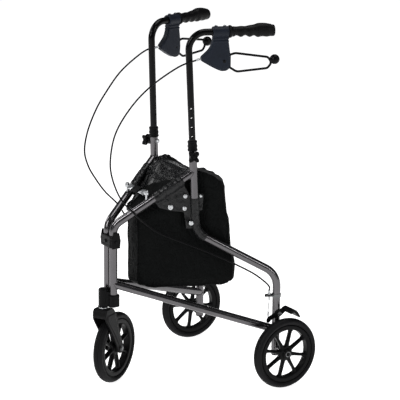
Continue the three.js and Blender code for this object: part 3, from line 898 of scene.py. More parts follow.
@dataclass(frozen=True)
class Side:
    """One side's frame: x outward from it, y rearward in it, z up, in millimetres."""

    hand: Hand
    tube: float = 11.1
    post: float = 9.3
    clearance: float = 0.3
    upright_s: float = 217.9
    upright_z: float = 600.0
    upright_lean: float = 0.046
    upright_top: float = 690.0
    rail_corner_z: float = 440.9
    diagonal_foot_z: float = 464.8
    diagonal_top_z: float = 610.4
    leg_s: float = 452.4
    leg_corner_z: float = 316.0
    knob_z: float = 657.0
    hole_pitch: float = 25.4
    bar_z: float = 989.5
    bar_toe: float = 6.2
    bar_length: float = 228.0
    wheel_r: float = 100.0
    wheel_out: float = 47.0
    link_pin_s: float = 90.0
    link_z: float = 553.0

    def joint(self, name: str) -> dict:
        """One of this side's joints."""
        return JOINTS[f"{self.hand.value}_{name}"]

    @property
    def place(self) -> Matrix:
        """From this side's millimetres to the walker's metres."""
        across = Vector(self.joint("knob_turn")["axis"]).normalized()
        rear = UP.cross(across)
        if rear.y < 0:
            rear = -rear
        hinge = Vector(self.joint("fold")["pos_m"])
        turn = Matrix((across, rear, UP)).transposed().to_4x4()
        return Matrix.Translation((hinge.x, hinge.y, 0)) @ turn @ Matrix.Scale(MM, 4)

    @property
    def opening(self) -> float:
        """How far the side is opened from the direction of travel, in radians."""
        across = self.joint("knob_turn")["axis"]
        return math.atan2(abs(across[1]), abs(across[0]))

    @property
    def axle(self) -> Vector:
        """The rear axle's outward direction."""
        return Vector((math.cos(self.opening), math.sin(self.opening), 0))

    @property
    def travel(self) -> Vector:
        """Rearward, in the direction of travel."""
        return Vector((-math.sin(self.opening), math.cos(self.opening), 0))

    def upright(self, z: float, x: float = 0.0) -> Vector:
        """A point of the upright's middle line, or beside it."""
        return Vector((x, self.upright_s + self.upright_lean * (self.upright_z - z), z))

    @property
    def rail_corner(self) -> Vector:
        """Where the upright would meet the upper rail."""
        return self.upright(self.rail_corner_z)

    @property
    def leg_corner(self) -> Vector:
        """Where the upper rail would meet the leg."""
        return Vector((0, self.leg_s, self.leg_corner_z))

    def from_leg(self, outward: float, rearward: float, z: float) -> Vector:
        """A point measured from the leg, along the axle and the direction of travel."""
        return Vector((0, self.leg_s, z)) + self.axle * outward + self.travel * rearward

    def diagonal(self, s: float) -> Vector:
        """The point of the diagonal's middle line above a place on the frame."""
        top = self.upright(self.diagonal_top_z)
        rise = (self.diagonal_top_z - self.diagonal_foot_z) / top.y
        return Vector((0, s, self.diagonal_foot_z + rise * s))

    @property
    def ahead(self) -> Vector:
        """Along the handle bar to its end."""
        toe = math.radians(self.bar_toe)
        return Vector((-math.sin(toe), math.cos(toe), 0))

    @property
    def beside(self) -> Vector:
        """Sideways from the handle bar, outward."""
        return Vector((self.ahead.y, -self.ahead.x, 0))

    def bar(self, h: float, w: float = 0.0, z: float | None = None) -> Vector:
        """A point measured along the handle bar, sideways from it, and at a height."""
        start = self.upright(self.bar_z)
        level = Vector((start.x, start.y, self.bar_z if z is None else z))
        return level + self.ahead * h + self.beside * w

    @property
    def bar_plane(self) -> Matrix:
        """The upright plane through the handle bar: along it, up, and across."""
        start = self.upright(self.bar_z)
        return basis(self.ahead, UP, Vector((start.x, start.y, 0)))

    def piece(
        self, solid: Solid, name: str, look: Finish, body: str, *nodes: str, **more: float
    ) -> bpy.types.Object:
        """Places a solid as a piece of this side.

        Args:
            solid: the solid.
            name: the piece's name, without its side.
            look: its finish.
            body: its body's name, without its side.
            nodes: the CAD nodes that it stands for, without their side.
            more: passed on.

        Returns:
            The piece.
        """
        own = self.hand.value + "_"
        return solid.piece(own + name, look, own + body, self.place, [own + n for n in nodes], **more)


# ---------------------------------------------------------------- one side's tube frame
@dataclass(frozen=True)
class SideFrame:
    """The welded tube frame of one side."""

    side: Side
    front_foot_z: float = 243.0
    diagonal_bend: float = 40.0
    upright_bend: float = 55.0
    leg_bend: float = 60.0
    leg_foot_z: float = 84.0
    rail_front_z: float = 300.8
    rail_rear_z: float = 154.7
    wall: float = 1.5
    boss: float = 9.0

    def build(self) -> None:
        """Makes the tubes, their weld beads and the leg's plug."""
        side = self.side
        radius = side.tube
        axis = side.upright(700) - side.upright(500)
        main = Solid.rod(side.upright(500), side.upright(720), radius, sides=64)
        top = side.upright(side.diagonal_top_z)
        foot = Vector((0, 0, side.diagonal_foot_z))
        front = Solid.tube(bent([(0, 0, self.front_foot_z), foot, top], [self.diagonal_bend]), radius, 48)
        side.piece(front.cut(main), "front_tube_painted", Look.PEWTER, "frame", "front_tube")

        corners = [
            side.upright(side.upright_top),
            side.rail_corner,
            side.leg_corner,
            (0, side.leg_s, self.leg_foot_z),
        ]
        rear = Solid.tube(
            bent(corners, [self.upright_bend, self.leg_bend]), radius, 48, radius - self.wall
        )
        side.piece(rear, "upright_and_leg", Look.PEWTER, "frame", "rear_tube")

        rail_front = Vector((0, 0, self.rail_front_z))
        rail_rear = Vector((0, side.leg_s, self.rail_rear_z))
        rail = Solid.tube([rail_front, rail_rear], radius, 48).cut(
            Solid.rod(Vector((0, 0, 260)), Vector((0, 0, 340)), radius, sides=64),
            Solid.rod(Vector((0, side.leg_s, 120)), Vector((0, side.leg_s, 190)), radius, sides=64),
        )
        side.piece(rail, "bottom_rail", Look.PEWTER, "frame", "lower_rail")

        slope = rail_rear - rail_front
        beads = [
            weld_bead(top, foot - top, radius, axis, radius),
            weld_bead(rail_front, slope, radius, UP, radius),
            weld_bead(rail_rear, -slope, radius, UP, radius),
            weld_bead(side.from_leg(0, 0, side.wheel_r), side.axle, self.boss, UP, radius),
        ]
        side.piece(beads[0].join(*beads[1:]), "weld_beads", Look.PEWTER, "frame", degrees=60)
        start, end = 6.0, side.wheel_out - 16.5
        boss = Solid.rod(
            side.from_leg(start, 0, side.wheel_r), side.from_leg(end, 0, side.wheel_r), self.boss, 0.8, 48
        )
        side.piece(boss, "axle_bush", Look.PEWTER, "frame")
        plug = Solid.lathe(
            [(0, -2.5), (7, -2.2), (10.6, -1), (radius, 0.2), (radius, 1.5), (9.4, 1.7), (9.4, 9), (0, 9)],
            Vector((0, side.leg_s, self.leg_foot_z - 1.8)),
            UP,
        )
        side.piece(plug, "leg_plug", Look.PLASTIC, "frame")


@dataclass(frozen=True)
class HeightLock:
    """The collar on the upright's top, with its star knob and nut."""

    side: Side
    foot_z: float = 669.0
    top_z: float = 697.0
    star_mean: float = 13.5
    star_lobe: float = 4.5
    star_low: float = 18.4
    star_high: float = 32.0

    def build(self) -> None:
        """Makes the ribbed collar, the four-lobed knob and the nut."""
        side = self.side
        foot = side.upright(self.foot_z)
        up = side.upright(self.top_z) - foot
        tall = up.length
        profile = [
            (11.7, 0.3),
            (12.6, 0),
            (13.4, 0.8),
            (13.5, 4.6),
            (12.5, 5.6),
            (12.4, 10),
            (13.3, 11),
            (13.3, 15),
            (12.4, 16),
            (12.2, tall - 6),
            (13.0, tall - 5),
            (12.9, tall - 1.2),
            (11.8, tall),
            (9.7, tall),
            (9.7, tall - 6.5),
            (11.7, tall - 6.7),
        ]
        collar = Solid.lathe(profile, foot, up, 64, lambda h, a: 0.25 * abs(math.sin(12 * a)))
        side.piece(collar, "collar_moulding", Look.PLASTIC, "frame", "collar")

        turns = [2 * math.pi * k / 96 for k in range(96)]
        star = [(self.star_mean - self.star_lobe * math.cos(4 * a), a) for a in turns]
        outline = [(r * math.cos(a), r * math.sin(a)) for r, a in star]
        place = basis(Vector((0, 1, 0)), UP, side.upright(side.knob_z))
        out = side.tube + 0.6
        knob = Solid.plate(outline, self.star_low, self.star_high, place).rounded(2.2, 4, 50)
        dish = Solid.lathe(
            [(0, -3), (6.5, -3), (7.5, 3), (0, 3)],
            side.upright(side.knob_z, self.star_high),
            Vector((1, 0, 0)),
        )
        button = Solid.lathe(
            [(0, -3.5), (5.6, -3.5), (5.6, -1.4), (4.6, -0.6), (0, -0.4)],
            side.upright(side.knob_z, self.star_high),
            Vector((1, 0, 0)),
        )
        neck = Solid.rod(side.upright(side.knob_z, out), side.upright(side.knob_z, 20), 6.5, 0.6)
        knob = knob.cut(dish).join(button, neck)
        side.piece(knob, "star_knob", Look.PLASTIC, "knob_body", "knob")
        nut = bolt_head(side.upright(side.knob_z, -side.tube), Vector((-1, 0, 0)), 6.4, 4.6)
        side.piece(nut, "lock_nut", Look.STEEL, "frame", "collar_nut")


# ---------------------------------------------------------------- handle and brake
@dataclass(frozen=True)
class Handle:
    """The telescoping handle tube with its grip."""

    side: Side
    foot_z: float = 580.0
    bend: float = 46.0
    wall: float = 1.7
    hole: float = 3.2
    holes: int = 6
    wave: float = 24.0

    def build(self) -> None:
        """Makes the tube with its height holes, and the grip."""
        side = self.side
        corners = [side.upright(self.foot_z), side.upright(side.bar_z), side.bar(side.bar_length)]
        line = bent(corners, [self.bend], 4)
        tube = Solid.tube(line, side.post, 48, side.post - self.wall)
        heights = [side.knob_z + side.hole_pitch * k for k in range(self.holes)]
        ends = [(side.upright(z, -15), side.upright(z, 15)) for z in heights]
        tube.cut(*(Solid.rod(*pair, self.hole, sides=24) for pair in ends))
        side.piece(tube, "handle_bar", Look.ENAMEL, "handle", "handle_tube")
        side.piece(self.grip(), "hand_grip", Look.GRIP, "handle", "grip", degrees=60)

    def radius(self, h: float) -> float:
        """The grip's plain radius at a place along it."""
        stations = [111, 111.6, 116.2, 117, 121, 132, 144, 156, 168, 180, 192, 205, 218, 228, 230, 234, 236]
        radii = [15.8, 17, 17, 16.2, 13.2, 13.4, 13.4, 13.5, 13.9, 14.8]
        radii += [15.8, 16.2, 16, 15.7, 15.7, 15.6, 14.6]
        return float(np.interp(h, stations, radii))

    def grip(self) -> Solid:
        """The moulded grip.

        Returns:
            A sleeve that swells under the palm, waves under the fingers and is ribbed on its flanks.
        """
        side = self.side
        sides = 72
        stations = [111, 111.3, 111.8, 116, 116.6, 117, 118, 119.5, 121]
        stations += [121 + 0.9 * k for k in range(1, 119)] + [229, 230, 231.5, 233, 234.4, 235.4, 236]
        rings = []
        for h in stations:
            ring = []
            for k in range(sides):
                a = 2 * math.pi * k / sides
                up, out = math.sin(a), math.cos(a)
                r = self.radius(h)
                if 119 < h < 229:
                    fade = min(1.0, (h - 119) / 6, (229 - h) / 6) * min(1.0, max(0.3, (206 - h) / 22))
                    swell = 5 * max(0.0, up) ** 2 * math.exp(-(((h - 200) / 27) ** 2))
                    finger = -(0.5 + 1.7 * max(0.0, -up)) * math.cos(2 * math.pi * (h - 132) / self.wave)
                    flank = 0.35 * (1 - abs(up)) * math.cos(math.pi * (h - 121) / 2.7)
                    r += swell + (finger + flank) * fade
                ring.append(side.bar(h) + side.beside * r * out + UP * r * up)
            rings.append(ring)
        return Solid.loft(rings)


@dataclass(frozen=True)
class LeverBrake:
    """The brake housing under the handle bar, with its loop lever, pin and cable adjuster."""

    side: Side
    pin_h: float = 98.0
    pin_z: float = 911.0
    half: float = 8.0
    wire: float = 3.2
    ball: float = 13.5

    def build(self) -> None:
        """Makes the housing, lever, pin and adjuster."""
        side = self.side
        side.piece(self.housing(), "lever_housing", Look.HOUSING, "handle", "brake_housing", degrees=50)
        side.piece(self.screws(), "clamp_screw", Look.STEEL, "handle")
        side.piece(self.lever(), "loop_lever", Look.DIPPED, "lever", "brake_lever", degrees=50)
        head = side.bar(self.pin_h, self.half + 0.1, self.pin_z)
        pin = Solid.lathe(
            [(0, -17.5), (2.7, -17.5), (2.7, 0), (4.6, 0), (4.6, 1.0), (3.4, 1.7), (0, 2)], head, side.beside
        )
        side.piece(pin, "lever_rivet", Look.DIPPED, "handle", "lever_pin")
        foot, tip = side.bar(34.2, 3, 918.5), side.bar(17, 12, 916)
        ridges = [(0, 0), (3.6, 0), (3.6, 3), (3.0, 3.3), (3.0, 4.2)]
        for k in range(7):
            ridges += [(3.5, 4.6 + 1.5 * k), (3.5, 5.4 + 1.5 * k), (3.1, 5.7 + 1.5 * k)]
        ridges += [(3.1, 16), (2.7, 16.5), (2.7, 19.5), (0, 19.5)]
        adjuster = Solid.lathe(ridges, foot, tip - foot, 32)
        side.piece(adjuster, "barrel_adjuster", Look.STEEL, "handle", "cable_adjuster")

    def housing(self) -> Solid:
        """The moulded housing: a clamp, and a fan-shaped shell open behind for the lever."""
        side = self.side
        plane = side.bar_plane
        fan = [
            (67, 994),
            (67, 973),
            (64.5, 961),
            (60.5, 950),
            (55.5, 942.5),
            (50, 937),
            (36, 924.5),
            (34.6, 920),
            (36, 912.5),
            (62, 897),
            (80, 888),
            (88, 885),
            (94, 884),
            (102, 884.6),
            (108, 887),
            (113, 892),
            (115, 912),
            (114, 934),
            (109, 968),
            (110, 994),
        ]
        body = Solid.plate(fan, -self.half, self.half, plane).rounded(1.6, 3)
        middle = Vector((72, 926, 0))
        inner = [middle + (Vector((u, v, 0)) - middle) * 0.86 for u, v in fan[1:19]]
        proud = self.half + 0.9
        panel = Solid.plate([(p.x, p.y) for p in inner], -proud, proud, plane).rounded(0.8, 2)
        ribs = [
            Solid.plate([(66.2, z), (110.4, z), (110, z - 3.4), (66.8, z - 3.4)], -9.2, 9.2, plane)
            for z in (974, 966.5)
        ]
        clamp = Solid.rod(side.bar(66), side.bar(110.6), 14.6, 1.2, 64)
        ears = [Solid.rod(side.bar(h, 0, 999), side.bar(h, 0, 1006.5), 4.4, 1.0) for h in (76, 100)]
        slot = Solid.plate([(82, 876), (120, 876), (120, 941), (82, 941)], -4.9, 4.9, plane)
        bore = Solid.rod(side.bar(60), side.bar(120), side.post + 0.25, sides=48)
        body.join(panel, clamp, *ribs, *ears)
        body.cut(slot, bore)
        return body.moulded(0.8, 3)

    def screws(self) -> Solid:
        """The two cross-head screws of the clamp."""
        side = self.side
        heads = []
        for h in (76, 100):
            seat = side.bar(h, 0, 1006.2)
            head = Solid.lathe([(0, -2), (2.9, -2), (2.9, 0.6), (2.0, 1.3), (0, 1.5)], seat, UP, 24)
            cross = [(-2.2, -0.35), (2.2, -0.35), (2.2, 0.35), (-2.2, 0.35)]
            planes = [basis(side.ahead, side.beside * -1, seat), basis(side.beside, side.ahead, seat)]
            arms = [Solid.plate(cross, 0.7, 3, plane) for plane in planes]
            heads.append(head.cut(*arms))
        return heads[0].join(heads[1])

    def lever(self) -> Solid:
        """The loop of coated wire with its root in the housing and a ball at its end."""
        side = self.side
        corners = [
            side.bar(108, 0, 925),
            side.bar(130, 0, 931),
            side.bar(221, 0, 917.5),
            side.bar(231, 0, 902),
            side.bar(220, 0, 887.5),
            side.bar(134, 0, 880.5),
            side.bar(108, 0, 897),
        ]
        loop = Solid.tube(bent(corners, [20, 12, 10, 12, 20], 8), self.wire, 20)
        root = Solid.plate(
            [(89, 903), (94, 897), (117, 890), (117, 931), (94, 925), (89, 919)], -4.2, 4.2, side.bar_plane
        ).rounded(1.2, 3)
        profile = []
        for k in range(25):
            a = math.pi * k / 24 - math.pi / 2
            groove = 0.5 if k == 12 else 0.0
            reach = 0.0 if k in (0, 24) else (self.ball - groove) * math.cos(a)
            profile.append((reach, self.ball * math.sin(a)))
        ball = Solid.lathe(profile, side.bar(239.5, 0, self.pin_z), side.ahead)
        neck = Solid.rod(side.bar(224, 0, self.pin_z), side.bar(236, 0, self.pin_z), 5.2, 1.5)
        pin = Solid.rod(side.bar(self.pin_h, -10, self.pin_z), side.bar(self.pin_h, 10, self.pin_z), 3.0)
        return loop.join(root, ball, neck).cut(pin)


@dataclass(frozen=True)
class CableRun:
    """The brake cable from the adjuster to the leg, and the bare wire below it."""

    side: Side
    sheath: float = 2.3
    wire: float = 1.0
    bracket_low: float = 250.0
    bracket_high: float = 260.0

    def route(self) -> list[Vector]:
        """The sheath's middle line: outward, rearward and up in the side's frame."""
        side = self.side
        upper = {
            Hand.LEFT: [
                (15, 202, 912.5),
                (17, 172, 900),
                (20, 93, 845),
                (20, 41, 787),
                (20, 4, 721),
                (20, -9, 650),
                (19, -5, 606),
                (18, 19, 544),
                (17, 58, 499),
            ],
            Hand.RIGHT: [
                (15, 202, 913.5),
                (17, 172, 905),
                (20, 86, 868),
                (21, 28, 826),
                (21, -22, 781),
                (21, -62, 722),
                (21, -73, 674),
                (20, -58, 632),
                (19, -28, 592),
                (18, 13, 548),
                (17, 66, 504),
            ],
        }[side.hand]
        lower = [(15, 114, 451), (13, 163, 427), (11, 253, 389), (9, 347, 343), (7, 397, 313)]
        foot, tip = side.bar(34.2, 3, 918.5), side.bar(17, 12, 916)
        way = (tip - foot).normalized()
        start = tip + way * side.clearance
        end = Vector((6, 431, 271.5 + side.clearance))
        return [start, start + way * 5, *map(Vector, upper + lower), end + UP * 9, end]

    def build(self) -> None:
        """Makes the sheath, ferrule, bracket, bolt and wire."""
        side = self.side
        own = side.hand.value
        route = self.route()
        sheath = Solid.tube(spline(route, 10), self.sheath, 16)
        name = f"{own}_cable_sheath"
        item = sheath.piece(name, Look.SHEATH, None, side.place, [f"{own}_brake_cable"])
        start, end = side.place @ Vector(route[2]), side.place @ Vector(route[-9])
        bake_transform(item)
        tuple(start)
        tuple(end)

        seat = Vector((6, 431, self.bracket_high))
        profile = [(0, 0.3), (4.6, 0.3), (4.6, 2.6), (3.0, 3.0), (3.0, 4.4)]
        profile += [(3.4, 4.8), (3.4, 10.8), (2.9, 11.3), (0, 11.3)]
        side.piece(Solid.lathe(profile, seat, UP, 24), "cable_end", Look.STEEL, "frame", "cable_ferrule")

        outline = [(-6, 424), (9, 422), (11.4, 425), (11.4, 441), (9, 450), (-9, 450), (-9, 436)]
        bracket = Solid.plate(outline, self.bracket_low + 3, self.bracket_high - 3, Matrix())
        leg = Vector((0, side.leg_s, 0))
        low, high = leg + UP * self.bracket_low, leg + UP * self.bracket_high
        band = Solid.rod(low, high, side.tube + 1.6, 0.5, 48)
        bore = Solid.rod(leg + UP * 240, leg + UP * 270, side.tube + 0.05, sides=48)
        bracket = bracket.rounded(1.0, 2).join(band).cut(bore)
        side.piece(bracket, "cable_stop", Look.ZINC, "frame", "cable_bracket")
        bolt = bolt_head(Vector((2, 423.5, 255)), Vector((0, -1, 0)), 4.2, 4.0)
        shank = Solid.rod(Vector((2, 432, 255)), Vector((2, 423, 255)), 2.2)
        side.piece(bolt.join(shank), "stop_bolt", Look.PLASTIC, "frame")

        top, foot = Vector((6, 431, self.bracket_low + 2)), side.from_leg(14.5, -37, 200.5)
        line = spline([top, top - UP * 12, foot.lerp(top, 0.3) + Vector((1, -1, 0)), foot], 8)
        wire = Solid.tube(line, self.wire, 10)
        sleeve = Solid.rod(top, top - UP * 11, 2.3, 0.6, 20)
        crimp = Solid.rod(foot.lerp(top, 0.27), foot.lerp(top, 0.02), 2.1, 0.5, 20)
        name = f"{own}_bare_wire"
        item = wire.join(sleeve, crimp).piece(name, Look.STEEL, None, side.place, [f"{own}_brake_wire"])
        start, end = side.place @ (top - UP * 12), side.place @ foot
        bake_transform(item)
        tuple(start)
        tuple(end)


@dataclass(frozen=True)
class FootBrake:
    """The bent lever over the wheel, whose tail presses on the tyre."""

    side: Side
    pivot_z: float = 205.0
    near: float = 12.3
    far: float = 16.8
    tail: float = 60.0

    def build(self) -> None:
        """Makes the lever and its pivot."""
        side = self.side
        place = basis(side.travel, UP, side.from_leg(0, 0, 0))
        arm = [
            (-40, 185),
            (-34, 184),
            (-26, 191),
            (-6, 197),
            (8, 199),
            (20, 208),
            (27, 213),
            (20, 224),
            (8, 219),
            (-6, 213),
            (-28, 204),
            (-37, 199),
            (-41, 192),
        ]
        tail = [
            (10, 213),
            (20, 217),
            (27, 211.5),
            (36, 200.5),
            (40, 200.5),
            (41, 203),
            (33, 216),
            (27, 222.5),
            (21, 225),
            (10, 221.5),
        ]

        def at(outward: float) -> Vector:
            """A point on the pivot."""
            return side.from_leg(outward, 0, self.pivot_z)

        lever = Solid.plate(arm, self.near, self.far, place)
        lever.join(Solid.plate(tail, self.near, self.tail, place))
        lever.join(Solid.rod(at(self.near), at(self.far + 0.2), 9, 0.6))
        lever.moulded(0.8, 3)
        lever.cut(Solid.rod(at(-5), at(40), 3.3))
        side.piece(lever, "bent_pedal", Look.PLASTIC, "pedal", "brake_pedal", degrees=50)
        head = bolt_head(at(self.far + 0.3), side.axle, 5.6, 3.2)
        shank = Solid.rod(at(-14), at(self.far + 1), 3, 0.4)
        tip = Solid.lathe([(0, 0), (4.6, 0), (4.4, 1.4), (2.6, 2.4), (0, 2.7)], at(-side.tube), -side.axle)
        side.piece(shank.join(head, tip), "pedal_bolt", Look.ZINC, "frame", "pedal_pin")


# ---------------------------------------------------------------- wheels
@dataclass(frozen=True)
class Wheel:
    """An eight-spoke nylon wheel with a rubber tyre. Its axis is x, and it is made round the origin."""

    radius: float = 100.0
    tyre_half: float = 14.0
    rim: float = 83.0
    ring: float = 68.5
    rim_half: float = 10.5
    hub: float = 20.0
    hub_half: float = 15.8
    bore: float = 4.3
    spokes: int = 8

    def nylon(self) -> Solid:
        """The rim, its flared spokes and its hub, moulded in one."""
        x = Vector((1, 0, 0))
        ring = Solid.lathe(
            [
                (self.ring, -self.rim_half),
                (self.ring + 4, -self.rim_half - 0.8),
                (self.rim - 3, -self.rim_half - 0.8),
                (self.rim - 0.4, -9.2),
                (self.rim - 0.4, 9.2),
                (self.rim - 3, self.rim_half + 0.8),
                (self.ring + 4, self.rim_half + 0.8),
                (self.ring, self.rim_half),
            ],
            Vector(),
            x,
            128,
        )
        half = self.hub_half
        hub = Solid.lathe(
            [
                (0, -half),
                (11.5, -half),
                (13, -half + 1.5),
                (14, -8),
                (self.hub, -7),
                (self.hub, 7),
                (14, 8),
                (13, half - 1.5),
                (11.5, half),
                (0, half),
            ],
            Vector(),
            x,
            64,
        )
        parts = [hub]
        for k in range(self.spokes):
            a = math.radians(360 / self.spokes * (k + 0.5))
            along = Vector((0, math.sin(a), math.cos(a)))
            place = basis(along, x.cross(along), Vector())
            web = [(12, -7.5), (19, -6.6), (30, -4.6), (56, -3.6), (64, -5.4), (71, -13)]
            outline = web + [(u, -v) for u, v in reversed(web)]
            parts.append(Solid.plate(outline, -4.2, 4.2, place))
            spine = [(12, -3.2), (71, -2.4), (71, 2.4), (12, 3.2)]
            parts.append(Solid.plate(spine, -7.2, 7.2, place))
        ring.join(*parts)
        ring.moulded(1.25, 4)
        return ring.cut(Solid.rod(Vector((-20, 0, 0)), Vector((20, 0, 0)), self.bore, sides=32))

    def rubber(self) -> Solid:
        """The tyre, with a stepped sidewall and shallow tread grooves."""
        inner = self.rim - 0.1
        half = self.tyre_half
        side = [(inner, 9.4), (inner + 0.8, 11.2), (86.5, 12.7), (87.2, 13.4), (89.5, half - 0.1)]
        side += [(91.5, half), (93.4, 13.2), (95.4, 11.4), (97.2, 9.2), (98.5, 6.6)]
        tread = [(98.9, 5.4), (97.9, 5.1), (97.9, 4.1), (99.3, 3.8)]
        crown = [(99.8, 1.4), (98.8, 1.1), (98.8, 0.0)]
        right = side + tread + crown
        left = [(r, -h) for r, h in reversed(right[:-1])]
        profile = right + left
        return Solid.lathe([(r, h) for r, h in reversed(profile)], Vector(), Vector((1, 0, 0)), 128)

    def build(self) -> "dict[str, Solid]":
        """Makes the two parts once, to be copied for each wheel."""
        return {"spoked_wheel": self.nylon(), "rubber_tyre": self.rubber()}

    @staticmethod
    def put(parts: "dict[str, Solid]", prefix: str, joint: str, looks: Sequence[Finish], turn: float) -> None:
        """Places a wheel on its spin joint.

        Args:
            parts: the wheel's parts.
            prefix: the wheel's name.
            joint: the joint that it spins on.
            looks: the parts' finishes.
            turn: how far round it has stopped, in degrees.
        """
        spin = JOINTS[joint]
        axis = Vector(spin["axis"]).normalized()
        place = basis(axis, UP, Vector(spin["pos_m"])) @ Matrix.Rotation(math.radians(turn), 4, "X")
        nodes = [f"{prefix}_wheel_rim", f"{prefix}_tyre"]
        for (name, solid), look, node in zip(parts.items(), looks, nodes):
            copy = solid.copied()
            copy.piece(f"{prefix}_{name}", look, f"{prefix}_wheel", place @ Matrix.Scale(MM, 4), [node])


@dataclass(frozen=True)
class RearAxle:
    """The bolt that carries a rear wheel."""

    side: Side
    radius: float = 4.0
    hub_half: float = 16.0

    def build(self) -> None:
        """Makes the bolt with its head, washers and nut."""
        side = self.side
        end = side.wheel_out + self.hub_half

        def at(out: float) -> Vector:
            """A point on the axle."""
            return side.from_leg(out, 0, side.wheel_r)

        bolt = Solid.rod(at(-16), at(end + 1), self.radius, 0.5)
        washer = Solid.rod(at(end + 0.2), at(end + 1.3), 8, 0.3)
        cap = Solid.lathe([(0, 0), (5.6, 0), (5.6, 1.2), (4.6, 2.3), (0, 2.9)], at(end + 1.2), side.axle)
        side.piece(cap, "axle_cap", Look.PLASTIC, "frame")
        nut = bolt_head(at(-side.tube), -side.axle, 6.8, 4.6)
        side.piece(bolt.join(washer, nut), "axle_bolt", Look.ZINC, "frame", "rear_axle")


# ---------------------------------------------------------------- front of the walker
@dataclass(frozen=True)
class FrontHub:
    """The upper hinge bracket and the lower one that holds the caster's stem."""

    hinge_x: float = 15.6
    tube: float = 11.1
    stem_y: float = -23.3
    front_foot_z: float = 243.0

    def sockets(self, low: float, high: float) -> list[Solid]:
        """The bores for the two front tubes, between two heights."""
        xs = (-self.hinge_x, self.hinge_x)
        return [Solid.rod(Vector((x, 0, low)), Vector((x, 0, high)), self.tube + 0.3, sides=48) for x in xs]

    def block(self, wide: float, deep: float, low: float, high: float, round_by: float) -> Solid:
        """A rounded block round both tubes."""
        corners = []
        for x, y, start in ((wide, deep, 0), (-wide, deep, 90), (-wide, -deep, 180), (wide, -deep, 270)):
            middle = (x - math.copysign(round_by, x), y - math.copysign(round_by, y))
            for k in range(7):
                a = math.radians(start + 15 * k)
                corners.append((middle[0] + round_by * math.cos(a), middle[1] + round_by * math.sin(a)))
        return Solid.plate(corners, low, high, Matrix())

    def build(self) -> None:
        """Makes both brackets and their bolts."""
        upper = self.block(30.5, 15.4, 407, 438, 9)
        bands = [self.block(32.4, 16, low, low + 6.5, 10) for low in (406, 431)]
        cheeks = []
        for x in (-31.2, 31.2):
            face = [(-12, 404), (12, 404), (14, 426), (9, 448), (-9, 448), (-14, 426)]
            cheeks.append(Solid.plate(face, x - 1.6, x + 1.6, basis(Vector((0, 1, 0)), UP, Vector())))
        upper.join(*bands, *cheeks).cut(*self.sockets(395, 450)).moulded(0.9, 3)
        upper.piece("upper_hinge_bracket", Look.PLASTIC, "front_hub", WHOLE, ["upper_bracket"], 50)

        stem = Vector((0, self.stem_y, 0))
        lower = self.block(30.5, 15.4, 237, 270, 11)
        xs = (-self.hinge_x, self.hinge_x)
        collars = [Solid.rod(Vector((x, 0, 262)), Vector((x, 0, 271.5)), 14.6, 1.5, 48) for x in xs]
        barrel = Solid.rod(stem + UP * 235, stem + UP * 288, 13.2, 2.0, 48)
        lip = Solid.rod(stem + UP * 235, stem + UP * 240, 14.2, 1.0, 48)
        bridge = Solid.plate(
            [(-12, self.stem_y), (12, self.stem_y), (19, -8), (-19, -8)], 240, 280, Matrix()
        )
        bore = Solid.rod(stem + UP * 220, stem + UP * 281, 8.4, sides=48)
        lower.join(barrel, lip, bridge, *collars).moulded(0.9, 3)
        lower.cut(bore, *self.sockets(self.front_foot_z - 0.3, 300))
        lower.piece("lower_stem_bracket", Look.PLASTIC, "front_hub", WHOLE, ["lower_bracket"], 50)
        heads = [
            bolt_head(Vector((hand * 33.1, 0, 422)), Vector((hand, 0, 0)), 4.6, 2.4) for hand in (-1, 1)
        ]
        heads += [bolt_head(Vector((0, -15.9, 422)), Vector((0, -1, 0)), 4.6, 2.6)]
        heads[0].join(*heads[1:]).piece("bracket_bolts", Look.PLASTIC, "front_hub", WHOLE)


